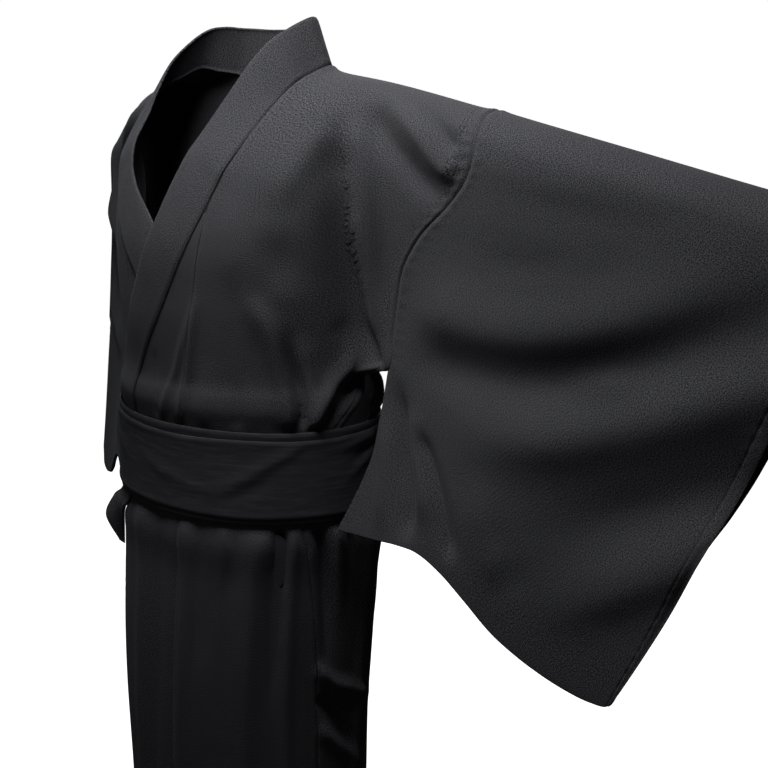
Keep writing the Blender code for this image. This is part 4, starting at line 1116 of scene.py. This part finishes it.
def make_sash(name, material):
    cloth = Cloth(sash_rows(), step=SASH_FINE_STEP, edges=(EDGE_STEPS,) * 4)
    cloth.face_out()
    z = cloth.base[..., 2]
    degrees = degrees_round(cloth.base)
    turn = cloth.row[:, None] / SASH_STEPS
    outer = ease((turn - (SASH_TURNS - 1)) / 0.04)
    height = outer * creases(degrees * DEGREE, z, SASH_CREASES)
    across, along = cloth.across[None, :], cloth.along[:, None]
    wide = cloth.ends[1]
    for gap in (across, wide - across):
        height += rolled(gap, SASH_ROLL)
    soft = sway(along, 0.041, 1.9, 0.17) * np.sin(along / 0.067 + 9 * across)
    height += SASH_SOFT * soft * outer
    cloth.press(np.maximum(height, -SASH_SINK[0] - SASH_SINK[1] * outer))
    cloth.points[..., 2] += SASH_WAVE * sway(along, 0.043, 2, 0.13) * (2 * across / wide - 1)
    return cloth.build(name, SASH_WALL, material)


# ==== materials ====

COTTON_DEEP = "0e0e10"
COTTON_WORN = "151517"
COTTON_SPECK = "5c5c61"
COTTON_SHEEN = 0.06
SASH_DEEP = "303034"
SASH_RUBBED = "3e3e42"
SASH_SHEEN = 0.03
SWELL_STRENGTH = 0.25


def linear(colour):
    """An sRGB hex colour as linear values."""
    values = [int(colour[i : i + 2], 16) / 255 for i in (0, 2, 4)]
    return tuple(v / 12.92 if v <= 0.04045 else ((v + 0.055) / 1.055) ** 2.4 for v in values)


def add(tree, kind, settings=None, **links):
    """A node with its settings, its input values and the sockets that feed it."""
    node = tree.nodes.new(kind)
    for name, value in (settings or {}).items():
        setattr(node, name, value)
    for name, value in links.items():
        key = int(name[1:]) if name[1:].isdigit() else name.replace("_", " ")
        if isinstance(value, bpy.types.NodeSocket):
            tree.links.new(value, node.inputs[key])
        else:
            node.inputs[key].default_value = value
    return node


def noise(tree, flat, across, down, detail, roughness):
    """Noise on the flat cloth, with so many swells in a metre across and down it."""
    scaled = add(tree, "ShaderNodeMapping", None, Vector=flat, Scale=(across, down, 1.0))
    return add(tree, "ShaderNodeTexNoise", {"noise_dimensions": "2D"}, Vector=scaled.outputs[0],
               Scale=1.0, Detail=detail, Roughness=roughness).outputs[0]


def ranged(tree, value, low, high, to_low=0.0, to_high=1.0):
    """A value's range stretched to another, and held inside it."""
    return add(tree, "ShaderNodeMapRange", None, i0=value, i1=low, i2=high, i3=to_low,
               i4=to_high).outputs[0]


def blend(tree, share, first, second):
    """A colour between two, each of which is a hex colour or a socket."""
    first, second = [(*linear(c), 1) if isinstance(c, str) else c for c in (first, second)]
    return add(tree, "ShaderNodeMix", {"data_type": "RGBA"}, i0=share, i6=first, i7=second).outputs[2]


def uneven(tree, swells, swell_deep, relief, strength, deep):
    """A normal with fine relief over broad swells, each so many metres deep."""
    low = add(tree, "ShaderNodeBump", None, Height=swells, Strength=SWELL_STRENGTH,
              Distance=swell_deep).outputs[0]
    return add(tree, "ShaderNodeBump", None, Height=relief, Strength=strength, Distance=deep,
               Normal=low).outputs[0]


def new_material(name, **values):
    """A material with its even values set on the shader."""
    material = bpy.data.materials.new(name)
    material.use_nodes = True
    shader = material.node_tree.nodes["Principled BSDF"]
    for key, value in values.items():
        shader.inputs[key.replace("_", " ")].default_value = value
    return material, material.node_tree, shader


def new_cloth(name, roughness, sheen, sheen_tint):
    """Cotton reflects little at its surface; its fibre ends give it a soft sheen at the edges."""
    material, tree, shader = new_material(
        name, Roughness=roughness, Metallic=0.0, IOR=1.45, Specular_IOR_Level=0.12,
        Sheen_Weight=sheen, Sheen_Roughness=0.45, Sheen_Tint=(*linear(sheen_tint), 1.0))
    return material, tree, shader, add(tree, "ShaderNodeUVMap", {"uv_map": "weave"}).outputs[0]


def black_cotton_crepe():
    """Hand-dyed black cotton in a fine crepe twill: matt, deep, with a light bloom of fibre ends."""
    material, tree, shader, flat = new_cloth("black_cotton_crepe", 0.86, COTTON_SHEEN, "c9cbd2")
    # Fibre ends and slubs are 0.2 mm across; they are drawn 1 mm wide, coarse enough to show
    specks = noise(tree, flat, 1020.0, 820.0, 2.0, 0.65)
    # Uneven take-up of the dye, in patches of 60 mm
    dyed = ranged(tree, noise(tree, flat, 16.0, 9.0, 3.0, 0.55), 0.35, 0.70)
    base = blend(tree, dyed, COTTON_DEEP, COTTON_WORN)
    colour = blend(tree, ranged(tree, specks, 0.36, 0.74), base, COTTON_SPECK)
    tree.links.new(colour, shader.inputs["Base Color"])
    # Twill ribs are 0.6 mm apart in the real cloth; they are drawn 1.8 mm apart, to show
    turned = add(tree, "ShaderNodeMapping", None, Vector=flat, Rotation=(0, 0, math.radians(62)))
    ribs = add(tree, "ShaderNodeTexWave", {"wave_type": "BANDS"}, Vector=turned.outputs[0], Scale=88.0,
               Distortion=2.6, Detail=2.0, Detail_Scale=160.0).outputs[1]
    # The crepe's crinkle, 2 mm across and longer down the cloth
    crinkle = noise(tree, flat, 560.0, 290.0, 3.0, 0.6)
    relief = add(tree, "ShaderNodeMath", {"operation": "MULTIPLY_ADD"}, i0=ribs, i1=0.35,
                 i2=crinkle).outputs[0]
    # Softly handled cloth never lies quite smooth: swells of 25 mm
    swells = noise(tree, flat, 46.0, 30.0, 2.0, 0.5)
    normal = uneven(tree, swells, 0.0015, relief, 0.45, 0.00035)
    tree.links.new(normal, shader.inputs["Normal"])
    tree.links.new(ranged(tree, specks, 0.3, 0.7, 0.80, 0.92), shader.inputs["Roughness"])
    return material


def black_sash_cotton():
    """Closely ribbed cotton for the sash: smoother, and rubbed a little along its creases."""
    material, tree, shader, flat = new_cloth("black_sash_cotton", 0.62, SASH_SHEEN, "b9bcc4")
    # Rubbing: long faint streaks down the sash's length, broken every 40 mm
    rubbed = ranged(tree, noise(tree, flat, 210.0, 22.0, 4.0, 0.65), 0.48, 0.78)
    tree.links.new(blend(tree, rubbed, SASH_DEEP, SASH_RUBBED), shader.inputs["Base Color"])
    tree.links.new(ranged(tree, rubbed, 0.0, 1.0, 0.68, 0.50), shader.inputs["Roughness"])
    # Ribs across the sash are 0.5 mm apart; they are drawn 1.6 mm apart, to show
    ribs = add(tree, "ShaderNodeTexWave", {"wave_type": "BANDS", "bands_direction": "Y"},
               Vector=flat, Scale=98.0, Distortion=1.2, Detail=1.0, Detail_Scale=120.0).outputs[1]
    swells = noise(tree, flat, 60.0, 24.0, 2.0, 0.55)
    normal = uneven(tree, swells, 0.0018, ribs, 0.25, 0.0002)
    tree.links.new(normal, shader.inputs["Normal"])
    return material


def studio_paper(name, colour):
    """Seamless pale paper, with a barely seen grain, lit evenly by a glow of its own."""
    material, tree, shader = new_material(
        name, Roughness=0.9, Emission_Color=(1.0, 1.0, 1.0, 1.0), Emission_Strength=1.0)
    place = add(tree, "ShaderNodeTexCoord").outputs["Object"]
    grain = add(tree, "ShaderNodeTexNoise", None, Vector=place, Scale=60.0, Detail=2.0).outputs[0]
    tree.links.new(blend(tree, grain, colour, "ffffff"), shader.inputs["Base Color"])
    return material


# ==== studio ====

CAMERA_FAR = 1.5  # level distance from the figure's axis
CAMERA_ROUND = 46.0  # degrees round from the front towards the left
CAMERA_TURN = 40.0  # degrees that it looks round from straight back
CAMERA_DOWN = 13.8
SENSOR = 36.0  # mm
LENS = SENSOR * 1300 / 768  # from a focal length of 1300 px, 768 px wide
# Lights: place, what it points at, size and power
LIGHTS = {
    "soft_top": ((0.20, -0.34, 0.50), (0.24, 0.0, -0.20), (0.55, 0.35), 9.8),
    "front_fill": ((-0.50, -1.60, -0.30), (0.05, 0.0, -0.50), (1.1, 1.1), 0.7),
    "back_fill": ((-1.4, 1.6, 1.0), (0.0, 0.0, -0.5), (1.6, 1.6), 26.0),
}
FILL_LIGHT = 0.024
FLOOR_Z = HEM_Z - 0.004
COVE_RADIUS = 8.0
FLOOR_RADIUS = COVE_RADIUS - 0.1


def add_camera():
    place, turn, down = [math.radians(v) for v in (CAMERA_ROUND, CAMERA_TURN, CAMERA_DOWN)]
    centre = Vector((CAMERA_FAR * math.sin(place), -CAMERA_FAR * math.cos(place), 0.0))
    right = Vector((math.cos(turn), math.sin(turn), 0.0))
    level = Vector((-math.sin(turn), math.cos(turn), 0.0))
    ahead = level * math.cos(down) + Vector((0.0, 0.0, -math.sin(down)))
    up = right.cross(ahead)
    camera = bpy.data.cameras.new("camera")
    camera.sensor_width = SENSOR
    camera.lens = LENS
    camera.clip_start = 0.05
    holder = link(bpy.data.objects.new("camera", camera))
    rows = [(right[i], up[i], -ahead[i], centre[i]) for i in range(3)]
    holder.matrix_world = Matrix(rows + [(0, 0, 0, 1)])
    bpy.context.scene.camera = holder


def add_light(name, place, aim, size, power):
    light = bpy.data.lights.new(name, "AREA")
    light.shape = "RECTANGLE"
    light.size, light.size_y = size
    light.energy = power
    holder = link(bpy.data.objects.new(name, light))
    holder.location = place
    holder.rotation_mode = "QUATERNION"
    holder.rotation_quaternion = (Vector(aim) - Vector(place)).to_track_quat("-Z", "Y")
    holder.visible_camera = False


def stage_object(name, mesh, material):
    """A part of the studio that throws no light on the cloth."""
    data = bpy.data.meshes.new(name)
    mesh.to_mesh(data)
    mesh.free()
    data.materials.append(material)
    thing = link(bpy.data.objects.new(name, data))
    thing.location.z = FLOOR_Z
    thing.visible_diffuse = False
    thing.visible_glossy = False
    thing.visible_transmission = False
    return thing


def add_studio():
    world = bpy.data.worlds.new("studio_fill")
    bpy.context.scene.world = world
    world.use_nodes = True
    background = world.node_tree.nodes["Background"]
    background.inputs["Color"].default_value = (1.0, 1.0, 1.0, 1.0)
    background.inputs["Strength"].default_value = FILL_LIGHT
    for name, light in LIGHTS.items():
        add_light(name, *light)
    bpy.context.scene.view_settings.view_transform = "Standard"
    mesh = bmesh.new()
    bmesh.ops.create_circle(mesh, cap_ends=True, radius=FLOOR_RADIUS, segments=96)
    stage_object("floor", mesh, studio_paper("pale_floor_paper", "f4f4f2"))
    mesh = bmesh.new()
    bmesh.ops.create_uvsphere(mesh, u_segments=48, v_segments=24, radius=COVE_RADIUS)
    bmesh.ops.reverse_faces(mesh, faces=mesh.faces)
    cove = stage_object("cove", mesh, studio_paper("white_cove_paper", "ffffff"))
    cove.visible_shadow = False


# ==== the robe ====

# Flat sizes of the cut pieces, across and down, in metres
FLAT = {"body": (0.31, 2.60), "okumi": (0.15, 1.16), "collar": (0.058, 1.50), "sash": (0.10, 2.16)}
SLEEVE_FLAT = {1: (0.38, 0.98), -1: (0.36, 0.98)}


def main():
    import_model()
    cotton, sash_cotton = black_cotton_crepe(), black_sash_cotton()
    add_camera()
    add_studio()
    made = []
    for side, name in ((1, "left"), (-1, "right")):
        flats = {"body": FLAT["body"], "okumi": FLAT["okumi"], "sleeve": SLEEVE_FLAT[side]}
        for kind, make in (("body", make_body), ("okumi", make_okumi), ("sleeve", make_sleeve)):
            piece = make(side, f"{kind}_cloth_{name}", cotton)
            made.append((piece, f"{kind}_{name}", "body_cotton", flats[kind], "hung"))
    collar = make_collar("collar_cloth", cotton)
    made.append((collar, "collar", "body_cotton", FLAT["collar"], "draped"))
    sash = make_sash("sash_cloth", sash_cotton)
    made.append((sash, "sash", "sash_cotton", FLAT["sash"], "folded"))
    for piece, node, slot, flat, held in made:
        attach(piece, "root")
        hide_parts(node)


main()
